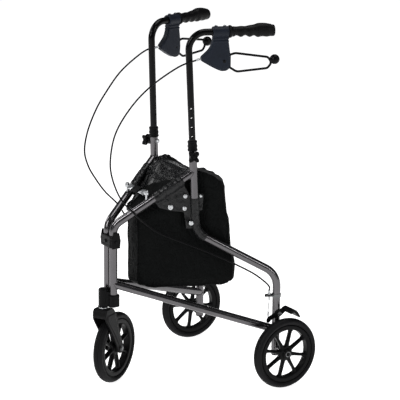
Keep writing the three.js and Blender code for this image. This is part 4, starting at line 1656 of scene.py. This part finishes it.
@dataclass(frozen=True)
class Caster:
    """The trailing fork of the front wheel, with its stem, washer and axle."""

    half: float = 22.0
    cheek: float = 4.5
    axle_r: float = 4.0

    def build(self) -> None:
        """Makes the fork, washer and axle bolt."""
        stem = Vector(JOINTS["caster_swivel"]["pos_m"])
        hub = Vector(JOINTS["front_wheel_spin"]["pos_m"])
        axle = Vector(JOINTS["front_wheel_spin"]["axis"]).normalized()
        trail = UP.cross(axle)
        back = WHOLE.inverted()
        foot = back @ stem
        foot.z = 0
        plane = basis(trail, UP, foot)
        crown = [
            (-20, 206),
            (-21.5, 214),
            (-20, 224),
            (-15, 230.5),
            (14, 230.5),
            (21, 227),
            (29, 217),
            (34, 208),
            (26, 205),
        ]
        leg = [
            (-20.5, 216),
            (-20, 203),
            (-12, 190),
            (16, 150),
            (34, 118),
            (45, 97),
            (50, 89.5),
            (57, 86),
            (65, 87),
            (71.5, 92),
            (74, 100),
            (72.5, 108),
            (62, 132),
            (52, 160),
            (43, 186),
            (34, 212),
        ]
        low, high = self.half - self.cheek, self.half
        fork = Solid.plate(crown, -high + 0.4, high - 0.4, plane)
        legs = [Solid.plate(leg, low, high, plane), Solid.plate(leg, -high, -low, plane)]
        ribs = []
        for sign in (-1, 1):
            spine = [(-14, 212), (-13, 200), (24, 152), (54, 104), (62, 104), (58, 122), (40, 168), (26, 212)]
            ribs.append(Solid.plate(spine, sign * high - 1.2, sign * high + 1.2, plane))
            at = back @ hub + axle * sign * low
            ribs.append(Solid.rod(at, at + axle * sign * (self.cheek + 1.6), 12.5, 1.0, 40))
        tower = Solid.rod(foot + UP * 224, foot + UP * 231.4, 13, 0.8, 48)
        post = Solid.rod(foot + UP * 225, foot + UP * 279, 8, 0.8, 40)
        fork.join(*legs, *ribs, tower)
        fork.moulded(1.0, 4).join(post)
        fork.piece("caster_fork_moulding", Look.PLASTIC, "caster", WHOLE, ["caster_fork"], 50)
        ring = [(8.3, 231.8), (12.2, 231.8), (12.6, 232.4), (12.6, 234.0), (12.2, 234.7), (8.3, 234.7)]
        Solid.lathe(ring, foot, UP, 48).piece("stem_washer", Look.STEEL, "caster", WHOLE, ["caster_washer"])

        middle = back @ hub
        bolt = Solid.rod(middle - axle * 26, middle + axle * 26, self.axle_r, 0.5)
        ends = [bolt_head(middle + axle * sign * (high + 1.2), axle * sign, 6.6, 3.4) for sign in (-1, 1)]
        spacers = [
            Solid.rod(middle + axle * sign * 16.1, middle + axle * sign * 17.3, 7.5, 0.2) for sign in (-1, 1)
        ]
        bolt.join(*ends, *spacers).piece("front_axle_bolt", Look.ZINC, "caster", WHOLE, ["front_axle"])


@dataclass(frozen=True)
class FoldLink:
    """Half of the fold link: a pin on the diagonal, a clevis and a flat link."""

    side: Side
    reach: float = 12.0
    tilt: float = 33.7
    hinge_x: float = 15.6

    def build(self) -> None:
        """Makes the pin, clevis and link."""
        side = self.side
        inward = -side.axle
        lean = math.radians(self.tilt)
        slope = side.travel * math.cos(lean) + UP * math.sin(lean)
        face = inward.cross(slope)
        sign = 1 if side.hand is Hand.LEFT else -1
        base = Vector((0, side.link_pin_s, side.link_z))
        plane = basis(inward, slope, base)

        def at(x: float, u: float) -> Vector:
            """A point of the link's plane."""
            return base + inward * x + slope * u

        pin = Solid.rod(base - UP * 33, base + UP * 6, 3, 0.3)
        head = bolt_head(base + UP * 5, UP, 5.4, 3.4)
        side.piece(pin.join(head), "link_bolt", Look.STEEL, "frame", "link_pin")

        eye = Solid.rod(base - UP * 3, base + UP * 3, 7, 0.5, 40)
        strip = [(0, -4), (self.reach, -4), (self.reach, 4), (0, 4)]
        tongue = Solid.plate(strip, -2.8, 2.8, plane).rounded(0.5, 2)
        barrel = Solid.rod(at(self.reach, -4.4), at(self.reach, 4.4), 3.6, 0.3)
        shaft = Solid.rod(at(self.reach, -8.6), at(self.reach, 8.6), 1.9, 0.3, 20)
        hole = Solid.rod(base - UP * 10, base + UP * 10, 3.2)
        clevis = eye.join(tongue, barrel, shaft).cut(hole)
        side.piece(clevis, "link_swivel", Look.STEEL, "clevis", "link_clevis")

        span = self.hinge_x + side.link_pin_s * math.sin(side.opening)
        end = span + 6
        low, high = (-8, -0.3) if sign > 0 else (0.3, 8)
        outline = [
            (self.reach + 4.4, -8),
            (span - 22, -8),
            (span - 18, low),
            (end - 2, low),
            (end, low + 2),
            (end, high - 2),
            (end - 2, high),
            (span - 18, high),
            (span - 22, 8),
            (self.reach + 4.4, 8),
        ]
        plate = Solid.plate(outline, -1.5, 1.5, plane).rounded(0.6, 2)
        ears = []
        for start in (-8.0, 4.8):
            ears.append(Solid.rod(at(self.reach, start), at(self.reach, start + 3.2), 4, 0.3))
            near, far, end_u = self.reach, self.reach + 6, start + 3.2
            web = [(near, start), (far, start), (far, end_u), (near, end_u)]
            ears.append(Solid.plate(web, -1.5, 1.5, plane))
        rivet = Solid.lathe(
            [(0, -2), (3.4, -2), (3.4, 0.4), (2.4, 1.3), (0, 1.6)], at(self.reach + 9.5, 0), face
        ).moved(Matrix.Translation(face * 1.5))
        hole = Solid.rod(at(self.reach, -12), at(self.reach, 12), 2.2, sides=20)
        link = plate.join(*ears).cut(hole).join(rivet)
        side.piece(link, "flat_link", Look.STEEL, "link", "fold_link")


@dataclass(frozen=True)
class PullStrap:
    """The webbing loop round the middle of the fold link."""

    side: Side
    half_long: float = 10.2
    half_high: float = 3.7
    width: float = 32.0
    thick: float = 1.5

    def build(self) -> None:
        """Makes the loop and its stitching."""
        lean = math.radians(FoldLink.tilt)
        slope = Vector((0, math.cos(lean), math.sin(lean)))
        normal = Vector((0, -math.sin(lean), math.cos(lean)))
        middle = Vector((0, self.side.link_pin_s * math.cos(self.side.opening), self.side.link_z))
        ring = []
        for k in range(48):
            a = 2 * math.pi * k / 48
            c, s = math.cos(a), math.sin(a)
            across = math.copysign(abs(c) ** 0.35, c) * self.half_long
            ring.append(middle + slope * across + normal * math.copysign(abs(s) ** 0.45, s) * self.half_high)
        x = Vector((1, 0, 0))
        rings = []
        for k, at in enumerate(ring):
            way = (ring[(k + 1) % 48] - ring[k - 1]).normalized()
            out = way.cross(x) * self.thick / 2
            row = [at + x * (self.width * (j / 8 - 0.5)) + out * (1 + 0.12 * (j % 2)) for j in range(9)]
            row += [at + x * (self.width * (0.5 - j / 8)) - out for j in range(9)]
            rings.append(row)
        Solid.loft(rings, closed=True).piece(
            "fold_pull_strap", Look.BINDING, "left_link", WHOLE, ["pull_strap"], 60
        )


# ---------------------------------------------------------------- tote bag
Edge = Sequence[tuple[float, float]]


def between(table: Edge, value: float) -> float:
    """Reads a table of pairs at a value."""
    return float(np.interp(value, [row[0] for row in table], [row[1] for row in table]))


@dataclass(frozen=True)
class ToteBag:
    """The tote bag between the side frames, with its lid.

    A place on it has f from front to rear and t from right to left.
    """

    inset: float = 13.6
    hinge_x: float = 15.6
    mesh: float = 5.0
    front: Edge = ((278, 81), (284, 74), (300, 67), (500, 67), (640, 74))
    rear: Edge = (
        (277, 304),
        (284, 337),
        (300, 343),
        (336, 347),
        (470, 331),
        (568, 314),
        (598, 299),
        (640, 288),
    )
    floor: Edge = ((0, 290), (0.12, 279), (0.6, 277), (0.88, 283), (1, 300))
    rim: Edge = (
        (0, 505),
        (0.03, 511),
        (0.5, 589),
        (0.6, 605),
        (0.7, 617),
        (0.8, 618),
        (0.9, 610),
        (0.96, 597),
        (1, 580),
    )
    squash_keep: float = 0.22
    tube_limit: float = -14.7
    bulge: float = 7.0

    def at(self, f: float, t: float, z: float, out: float = 0.0) -> Vector:
        """A point of the bag.

        Args:
            f: from 0 at the front to 1 at the rear.
            t: from -1 on the right face to 1 on the left one.
            z: its height.
            out: how far it stands off the side faces.

        Returns:
            The point in the walker's millimetres.
        """
        start, end = between(self.front, z), between(self.rear, z)
        s = start + (end - start) * f
        c, n = math.cos(Side(Hand.LEFT).opening), math.sin(Side(Hand.LEFT).opening)
        half = self.hinge_x - self.inset * c + s * n + out
        return Vector((t * half, self.inset * n + s * c, z))

    def outline(self) -> list[tuple[float, float]]:
        """The corners and flats, in order round the bag."""
        ring = []
        for f, t, df, dt, start in (
            (0, -1, 0.03, 0.14, 180),
            (1, -1, 0.07, 0.13, 270),
            (1, 1, 0.07, 0.13, 0),
            (0, 1, 0.03, 0.14, 90),
        ):
            mf = f + df if f == 0 else f - df
            mt = t - math.copysign(dt, t)
            for i in range(6):
                a = math.radians(start + 18 * i)
                ring.append((mf + df * math.cos(a), mt + dt * math.sin(a)))
        whole = []
        for a, b in zip(ring, ring[1:] + ring[:1]):
            steps = max(1, round(math.hypot(b[0] - a[0], (b[1] - a[1]) / 2) / 0.06))
            run, rise = (b[0] - a[0]) / steps, (b[1] - a[1]) / steps
            whole += [(a[0] + run * k, a[1] + rise * k) for k in range(steps)]
        return whole

    def shell(self) -> Solid:
        """The bag's body before it sags."""
        levels = 24
        rings = []
        for v in range(levels + 1):
            ring = []
            for f, t in self.outline():
                low, high = between(self.floor, f), between(self.rim, f) - 5
                ring.append(self.at(f, t, low + (high - low) * v / levels))
            rings.append(ring)
        body = Solid.loft(rings)
        made = bmesh.new()
        made.from_mesh(body.item.data)
        caps = [face for face in made.faces if len(face.verts) > 4]
        bmesh.ops.triangulate(made, faces=caps)
        made.to_mesh(body.item.data)
        made.free()
        return body

    def sagged(self, body: Solid) -> Solid:
        """Lets a closed skin of cloth fill and settle.

        Args:
            body: the skin.

        Returns:
            The skin as it hangs, no further than a finger's width from where it was.
        """
        item = body.item
        step = item.modifiers.new("skin", "REMESH")
        step.mode = "VOXEL"
        step.voxel_size = self.mesh
        body.settle()
        item.data.transform(Matrix.Scale(MM, 4))
        rest = [v.co.copy() for v in item.data.vertices]
        cloth = item.modifiers.new("cloth", "CLOTH")
        cloth.settings.use_pressure = True
        cloth.settings.uniform_pressure_force = 4
        cloth.settings.effector_weights.gravity = 0
        cloth.settings.tension_stiffness = 25
        cloth.settings.compression_stiffness = 12
        cloth.settings.bending_stiffness = 0.6
        cloth.settings.shrink_min = -0.015
        cloth.collision_settings.use_collision = False
        cloth.collision_settings.use_self_collision = False
        scene = bpy.context.scene
        for number in range(1, 19):
            scene.frame_set(number)
        body.settle()
        scene.frame_set(1)
        for vertex, was in zip(item.data.vertices, rest):
            move = (vertex.co - was) * 0.5
            if move.length > 0.008:
                move *= 0.008 / move.length
            vertex.co = was + move
        item.data.transform(Matrix.Scale(1 / MM, 4))
        return body

    def folds(self, p: Vector) -> Vector:
        """The soft folds of a loaded bag: it hollows between its seams and creases near its corners."""
        middle = Vector((0, 200, 0))
        away = Vector((p.x, p.y - middle.y, 0)).normalized()
        share = min(1.0, max(0.0, (p.z - 284) / 60)) * min(1.0, max(0.0, (610 - p.z) / 40))
        wide = noise.noise(Vector((p.x * 0.010, p.y * 0.012, p.z * 0.0055)))
        fine = 1 - abs(noise.noise(Vector((p.x * 0.021 + 5, p.y * 0.024, p.z * 0.008 + p.y * 0.010)))) * 2
        deep = -1.2 + 4.0 * wide + 2.6 * fine
        low = noise.noise(Vector((p.x * 0.03, p.y * 0.03, p.z * 0.05))) * 1.3
        return p + away * (max(-4.5, min(1.8, deep)) * share + low)

    def clear(self, p: Vector) -> Vector:
        """Keeps a point of the cloth off the tubes and the sleeves round them.

        Args:
            p: the point, in the walker's millimetres.

        Returns:
            The point, moved inward where it was too near.
        """
        side = Side(Hand.LEFT)
        c, n = math.cos(side.opening), math.sin(side.opening)
        sign = math.copysign(1, p.x)
        out = sign * p.x - self.hinge_x
        x, s = out * c - p.y * n, out * n + p.y * c
        spot = Vector((0, s, p.z))
        frame_lines = SideFrame(side)
        spans = [
            (side.diagonal(0), side.diagonal(217)),
            (side.upright(700), side.rail_corner),
            (side.rail_corner, side.leg_corner),
            (Vector((0, 0, frame_lines.rail_front_z)), Vector((0, side.leg_s, frame_lines.rail_rear_z))),
        ]
        near = 1e9
        for a, b in spans:
            share = min(1.0, max(0.0, (spot - a).dot(b - a) / (b - a).length_squared))
            near = min(near, (spot - a.lerp(b, share)).length)
        limit = self.tube_limit + self.bulge * min(1.0, max(0.0, (near - 15) / 30))
        if x <= limit:
            return p
        return Vector((sign * (self.hinge_x + limit * c + s * n), s * c - limit * n, p.z))

    def top(self, f: float, t: float) -> float:
        """The lid's height: it humps to the right of the middle and sinks behind it."""
        s = 81 + 225 * f
        rise = 38 * math.exp(-(((s - 187) / 38) ** 2) - ((t + 0.45) / 0.62) ** 2)
        rise -= 15 * math.exp(-(((s - 272) / 32) ** 2) - (t / 0.62) ** 2)
        rise += 7 * math.exp(-(((s - 236) / 34) ** 2)) * max(0.0, t) ** 2
        return between(self.rim, f) + rise

    def lid(self) -> Solid:
        """The lid: a rumpled sheet with its edges turned down.

        Returns:
            A thin closed sheet.
        """
        count = 72
        points, pinned = [], []
        for i in range(count + 1):
            for j in range(count + 1):
                u, w = -0.09 + 1.18 * i / count, -1.1 + 2.2 * j / count
                f, t = min(1.0, max(0.0, u)), min(1.0, max(-1.0, w))
                over_f, over_t = abs(u - f) / 0.09, abs(w - t) / 0.1
                deep_f = 0.09 if f > 0.5 else 0.06
                share_f = max(0.0, abs(f - 0.5) - 0.5 + deep_f) / deep_f
                share_t = max(0.0, abs(t) - 0.85) / 0.15
                both = math.hypot(share_f, share_t)
                if share_f and share_t and both > 1:
                    f += math.copysign(share_f * (1 - 1 / both) * deep_f, 0.5 - f)
                    t -= math.copysign(share_t * (1 - 1 / both) * 0.15, t)
                over = min(1.0, max(over_f, over_t))
                z = self.top(f, t)
                place = self.at(f, t, z, 1.6 + 1.0 * min(1.0, over * 3))
                way = -1.5 if u < 0 else 1.5 if u > 1 else 0.0
                place.y += way * min(1.0, over_f * 3)
                place.z = z - 1.5 * over - 13.0 * over**1.2
                if abs(place.x) < 3 and over == 0:
                    place.z += 0.4
                points.append(place)
                if over > 0.15:
                    pinned.append(len(points) - 1)
        row = count + 1
        starts = [i * row + j for i in range(count) for j in range(count)]
        faces = [(k, k + 1, k + row + 1, k + row) for k in starts]
        sheet = Solid(points, faces)
        item = sheet.item
        item.data.transform(Matrix.Scale(MM, 4))
        group = item.vertex_groups.new(name="edge")
        group.add(pinned, 1.0, "REPLACE")
        rng = np.random.default_rng(7)
        for vertex, shift in zip(item.data.vertices, rng.normal(0, 0.0004, len(points))):
            vertex.co.z += shift
        cloth = item.modifiers.new("cloth", "CLOTH")
        cloth.settings.vertex_group_mass = "edge"
        cloth.settings.shrink_min = -0.075
        cloth.settings.tension_stiffness = 30
        cloth.settings.compression_stiffness = 30
        cloth.settings.bending_stiffness = 0.25
        cloth.settings.effector_weights.gravity = 0.12
        cloth.collision_settings.use_collision = False
        scene = bpy.context.scene
        for number in range(1, 29):
            scene.frame_set(number)
        sheet.settle()
        scene.frame_set(1)
        item.data.transform(Matrix.Scale(1 / MM, 4))
        for vertex, was in zip(item.data.vertices, points):
            move = vertex.co - was
            if move.length > 11:
                vertex.co = was + move * (11 / move.length)
        step = item.modifiers.new("smooth", "SUBSURF")
        step.levels = 1
        sheet.settle().reshaped(self.clear)
        step = item.modifiers.new("thick", "SOLIDIFY")
        step.thickness = 1.6
        step.offset = -1
        return sheet.settle()

    def piping(self, skin: Solid) -> Solid:
        """The bound seams down the four corners and along the bottom edges, laid on the skin."""
        lines = []
        for f, t in ((0.0, -0.8), (0.0, 0.8), (0.95, -1.0), (0.95, 1.0)):
            low, high = between(self.floor, f) + 6, between(self.rim, f) - 10
            lines.append([self.at(f, t, low + (high - low) * k / 40) for k in range(41)])
        for t in (-0.98, 0.98):
            along = [0.05 + 0.9 * k / 40 for k in range(41)]
            lines.append([self.at(f, t, between(self.floor, f) + 3) for f in along])
        tubes = []
        for line in lines:
            laid = []
            for p in line:
                found, at, normal, _ = skin.item.closest_point_on_mesh(p)
                laid.append(at + normal * 0.5 if found else p)
            smooth = [(a + b * 2 + c) / 4 for a, b, c in zip(laid, laid[1:], laid[2:])]
            tubes.append(Solid.tube(smooth, 1.5, 10))
        return tubes[0].join(*tubes[1:])

    def build(self) -> None:
        """Makes the body, its seams and the lid, and puts each on the front hub with its own mesh."""
        body = self.sagged(self.shell()).reshaped(self.folds)
        step = body.item.modifiers.new("fine", "SUBSURF")
        step.levels = 1
        body.settle().reshaped(self.clear)
        seams = self.piping(body).reshaped(self.clear)
        items = [
            body.piece("tote_body", Look.CLOTH, "front_hub", WHOLE, ["tote_bag"], 80),
            seams.piece("tote_seams", Look.BINDING, "front_hub", WHOLE, degrees=80),
            self.lid().piece("tote_lid", Look.SATIN, "front_hub", WHOLE, ["bag_lid"], 80),
        ]
        for item in items:
            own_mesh(item)


@dataclass(frozen=True)
class BagWing:
    """The fabric wing that is sewn round a side's diagonal and upright, with its snap fasteners."""

    side: Side

    def build(self) -> None:
        """Makes the sleeves, the gusset between them and the snaps."""
        side = self.side
        grain = 1.4
        rings = []
        for k in range(39):
            s = 112 + 2 * k
            middle = side.diagonal(s)
            across = Vector((0, -math.sin(0.57), math.cos(0.57)))
            ring = []
            for j in range(36):
                a = 2 * math.pi * j / 36
                low = max(0.0, -math.sin(a)) ** 3 * 5
                swell = 1 + 0.02 * math.sin(s * 0.55 + 2 * a) + 0.015 * math.sin(s * 0.23 - a * 3)
                r = 13.1 * swell
                ring.append(middle + Vector((r * math.cos(a), 0, 0)) + across * math.sin(a) * (r + low))
            rings.append(ring)
        skin = Solid.loft(rings)
        gusset = [
            (112, 529),
            (125, 512),
            (155, 503),
            (192, 499),
            (199, 452),
            (222, 452),
            (222, 500),
            (243, 503),
            (246, 548),
            (228, 552),
            (221, 540),
            (207, 546),
            (188, 586),
            (112, 538),
        ]
        plane = basis(Vector((0, 1, 0)), UP, Vector())
        cloth = Solid.plate(gusset, -2.0, 2.0, plane)
        frame_lines = SideFrame(side)
        corners = [side.upright(700), side.rail_corner, side.leg_corner, (0, side.leg_s, 100)]
        whole = bent(corners, [frame_lines.upright_bend, frame_lines.leg_bend])
        line = [p for p in divided(whole, 4) if p.y < 254 and p.z < 539]
        sleeve = Solid.tube(line, 12.9, 40)
        skin.join(cloth, sleeve)
        skin.moulded(grain, 3)

        def crumple(p: Vector) -> Vector:
            """Small folds in the wing."""
            shift = noise.noise(Vector((p.y * 0.07, p.z * 0.05, p.x * 0.02))) * 2.2
            return p + Vector((shift if abs(p.x) < 8 else 0.35 * shift, 0, 0.3 * shift))

        skin.reshaped(crumple)
        tube = Solid.tube(whole, side.tube + 0.2, 40)
        slant = Solid.rod(side.diagonal(60), side.diagonal(217), side.tube + 0.2, sides=40)
        skin.cut(tube).cut(slant)
        own = side.hand.value
        skin.piece(f"{own}_fabric_wing", Look.SATIN, f"{own}_frame", side.place, [f"{own}_bag_wing"], 70)

        spots = [(155.5, 513.2, 7), (195.8, 543.2, 5.6), (194.2, 508.8, 5.6)]
        spots += [(211, 470.4, 6.2), (238, 542.2, 3.8)]
        domes = []
        for s, z, r in spots:
            lift = 12.6 if s == 211 else 2.0
            seat = Vector((lift, s, z))
            profile = [(0, -2.5), (r, -2.5), (r, 0.9), (r - 0.7, 1.6)]
            profile += [(r * 0.5, 2.2), (r * 0.36, 1.9), (0, 1.8)]
            domes.append(Solid.lathe(profile, seat, Vector((1, 0, 0)), 32))
        domes[0].join(*domes[1:]).piece(f"{own}_bag_snaps", Look.STEEL, f"{own}_frame", side.place)


# ---------------------------------------------------------------- studio
@dataclass(frozen=True)
class Studio:
    """A plain pale floor, soft boxes and the camera."""

    distance: float = 4.788
    azimuth: float = 58.1077
    elevation: float = 14.4361
    roll: float = 0.5932
    lens: float = 155.485
    aim: tuple[float, float, float] = (0.03, 0.0485, 0.0014)

    def floor(self) -> None:
        """A wide pale floor."""
        mesh = bpy.data.meshes.new("floor")
        mesh.from_pydata([(-40, -40, 0), (40, -40, 0), (40, 40, 0), (-40, 40, 0)], [], [(0, 1, 2, 3)])
        item = bpy.data.objects.new("floor", mesh)
        bpy.context.scene.collection.objects.link(item)
        graph = Graph("floor_paper")
        soft = graph.noise(graph.point(), 3.0, 3.0)
        graph.surface(Base_Color=graph.mixed(soft, (0.78, 0.78, 0.78), (0.8, 0.8, 0.8)))
        graph.surface(Roughness=0.7 + soft * 0.1, Emission_Color=(1, 1, 1, 1), Emission_Strength=0.92)
        mesh.materials.append(graph.material)
        item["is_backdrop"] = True

    def box(self, name: str, at: Vector, aim: Vector, wide: float, high: float, watts: float) -> None:
        """One soft box.

        Args:
            name: its name.
            at: where it hangs.
            aim: what it faces.
            wide: its width.
            high: its height.
            watts: its power.
        """
        light = bpy.data.lights.new(name, "AREA")
        light.shape = "RECTANGLE"
        light.size = wide
        light.size_y = high
        light.energy = watts
        item = bpy.data.objects.new(name, light)
        item.location = at
        item.rotation_euler = (aim - at).to_track_quat("-Z", "Y").to_euler()
        bpy.context.scene.collection.objects.link(item)
        item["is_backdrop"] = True

    def camera(self) -> None:
        """The camera, at the angle that the walker is looked at from."""
        low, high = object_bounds()
        middle = (Vector(CAD_LOW) + Vector(CAD_HIGH)) / 2 + Vector(self.aim)
        a, e, r = (math.radians(x) for x in (self.azimuth, self.elevation, self.roll))
        back = Vector((math.sin(a) * math.cos(e), -math.cos(a) * math.cos(e), math.sin(e)))
        right = (-back).cross(UP).normalized()
        up = right.cross(-back)
        columns = (right * math.cos(r) + up * math.sin(r), up * math.cos(r) - right * math.sin(r), back)
        data = bpy.data.cameras.new("camera")
        data.lens = self.lens
        data.sensor_width = 36
        data.clip_end = 200
        item = bpy.data.objects.new("camera", data)
        turn = Matrix(columns).transposed().to_4x4()
        item.matrix_world = Matrix.Translation(middle + back * self.distance) @ turn
        bpy.context.scene.collection.objects.link(item)
        bpy.context.scene.camera = item
        item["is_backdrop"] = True
        LOG.info("box %s to %s", low, high)

    def build(self) -> None:
        """Sets the studio up."""
        scene = bpy.context.scene
        scene.view_settings.view_transform = "Standard"
        world = bpy.data.worlds.new("world")
        world.use_nodes = True
        world.node_tree.nodes["Background"].inputs["Color"].default_value = (0.6, 0.62, 0.65, 1)
        world.node_tree.nodes["Background"].inputs["Strength"].default_value = 0.12
        scene.world = world
        self.floor()
        aim = Vector((0, 0, 0.5))
        self.box("key", Vector((1.0, -4.2, 3.0)), aim, 0.8, 2.6, 115)
        self.box("side", Vector((4.4, 1.9, 2.2)), aim, 0.6, 2.6, 50)
        self.box("far", Vector((-3.4, -2.2, 2.8)), aim, 1.0, 2.4, 70)
        self.box("above", Vector((0.2, 0.4, 4.2)), aim, 2.0, 2.0, 60)
        self.camera()


def main() -> None:
    """Builds the walker from its sub-assemblies, and sets the studio."""
    logging.basicConfig(level=logging.INFO, format="%(name)s %(message)s")
    sides = [Side(Hand.LEFT), Side(Hand.RIGHT)]
    for side in sides:
        frame_parts = (SideFrame, HeightLock, Handle, LeverBrake)
        for part in (*frame_parts, CableRun, FootBrake, RearAxle, FoldLink, BagWing):
            LOG.info("building the %s %s", side.hand.value, part.__name__)
            part(side).build()
    PullStrap(sides[0]).build()
    FrontHub().build()
    Caster().build()
    wheels = Wheel().build()
    looks = (Look.NYLON, Look.TYRE)
    turns = {"left": 8.0, "right": 15.0, "front": -6.0}
    for prefix, turn in turns.items():
        joint = "front_wheel_spin" if prefix == "front" else f"{prefix}_wheel_spin"
        Wheel.put(wheels, prefix, joint, looks, turn)
    for solid in wheels.values():
        bpy.data.objects.remove(solid.item)
    ToteBag().build()
    Studio().build()
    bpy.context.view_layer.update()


if __name__ == "__main__":
    main()
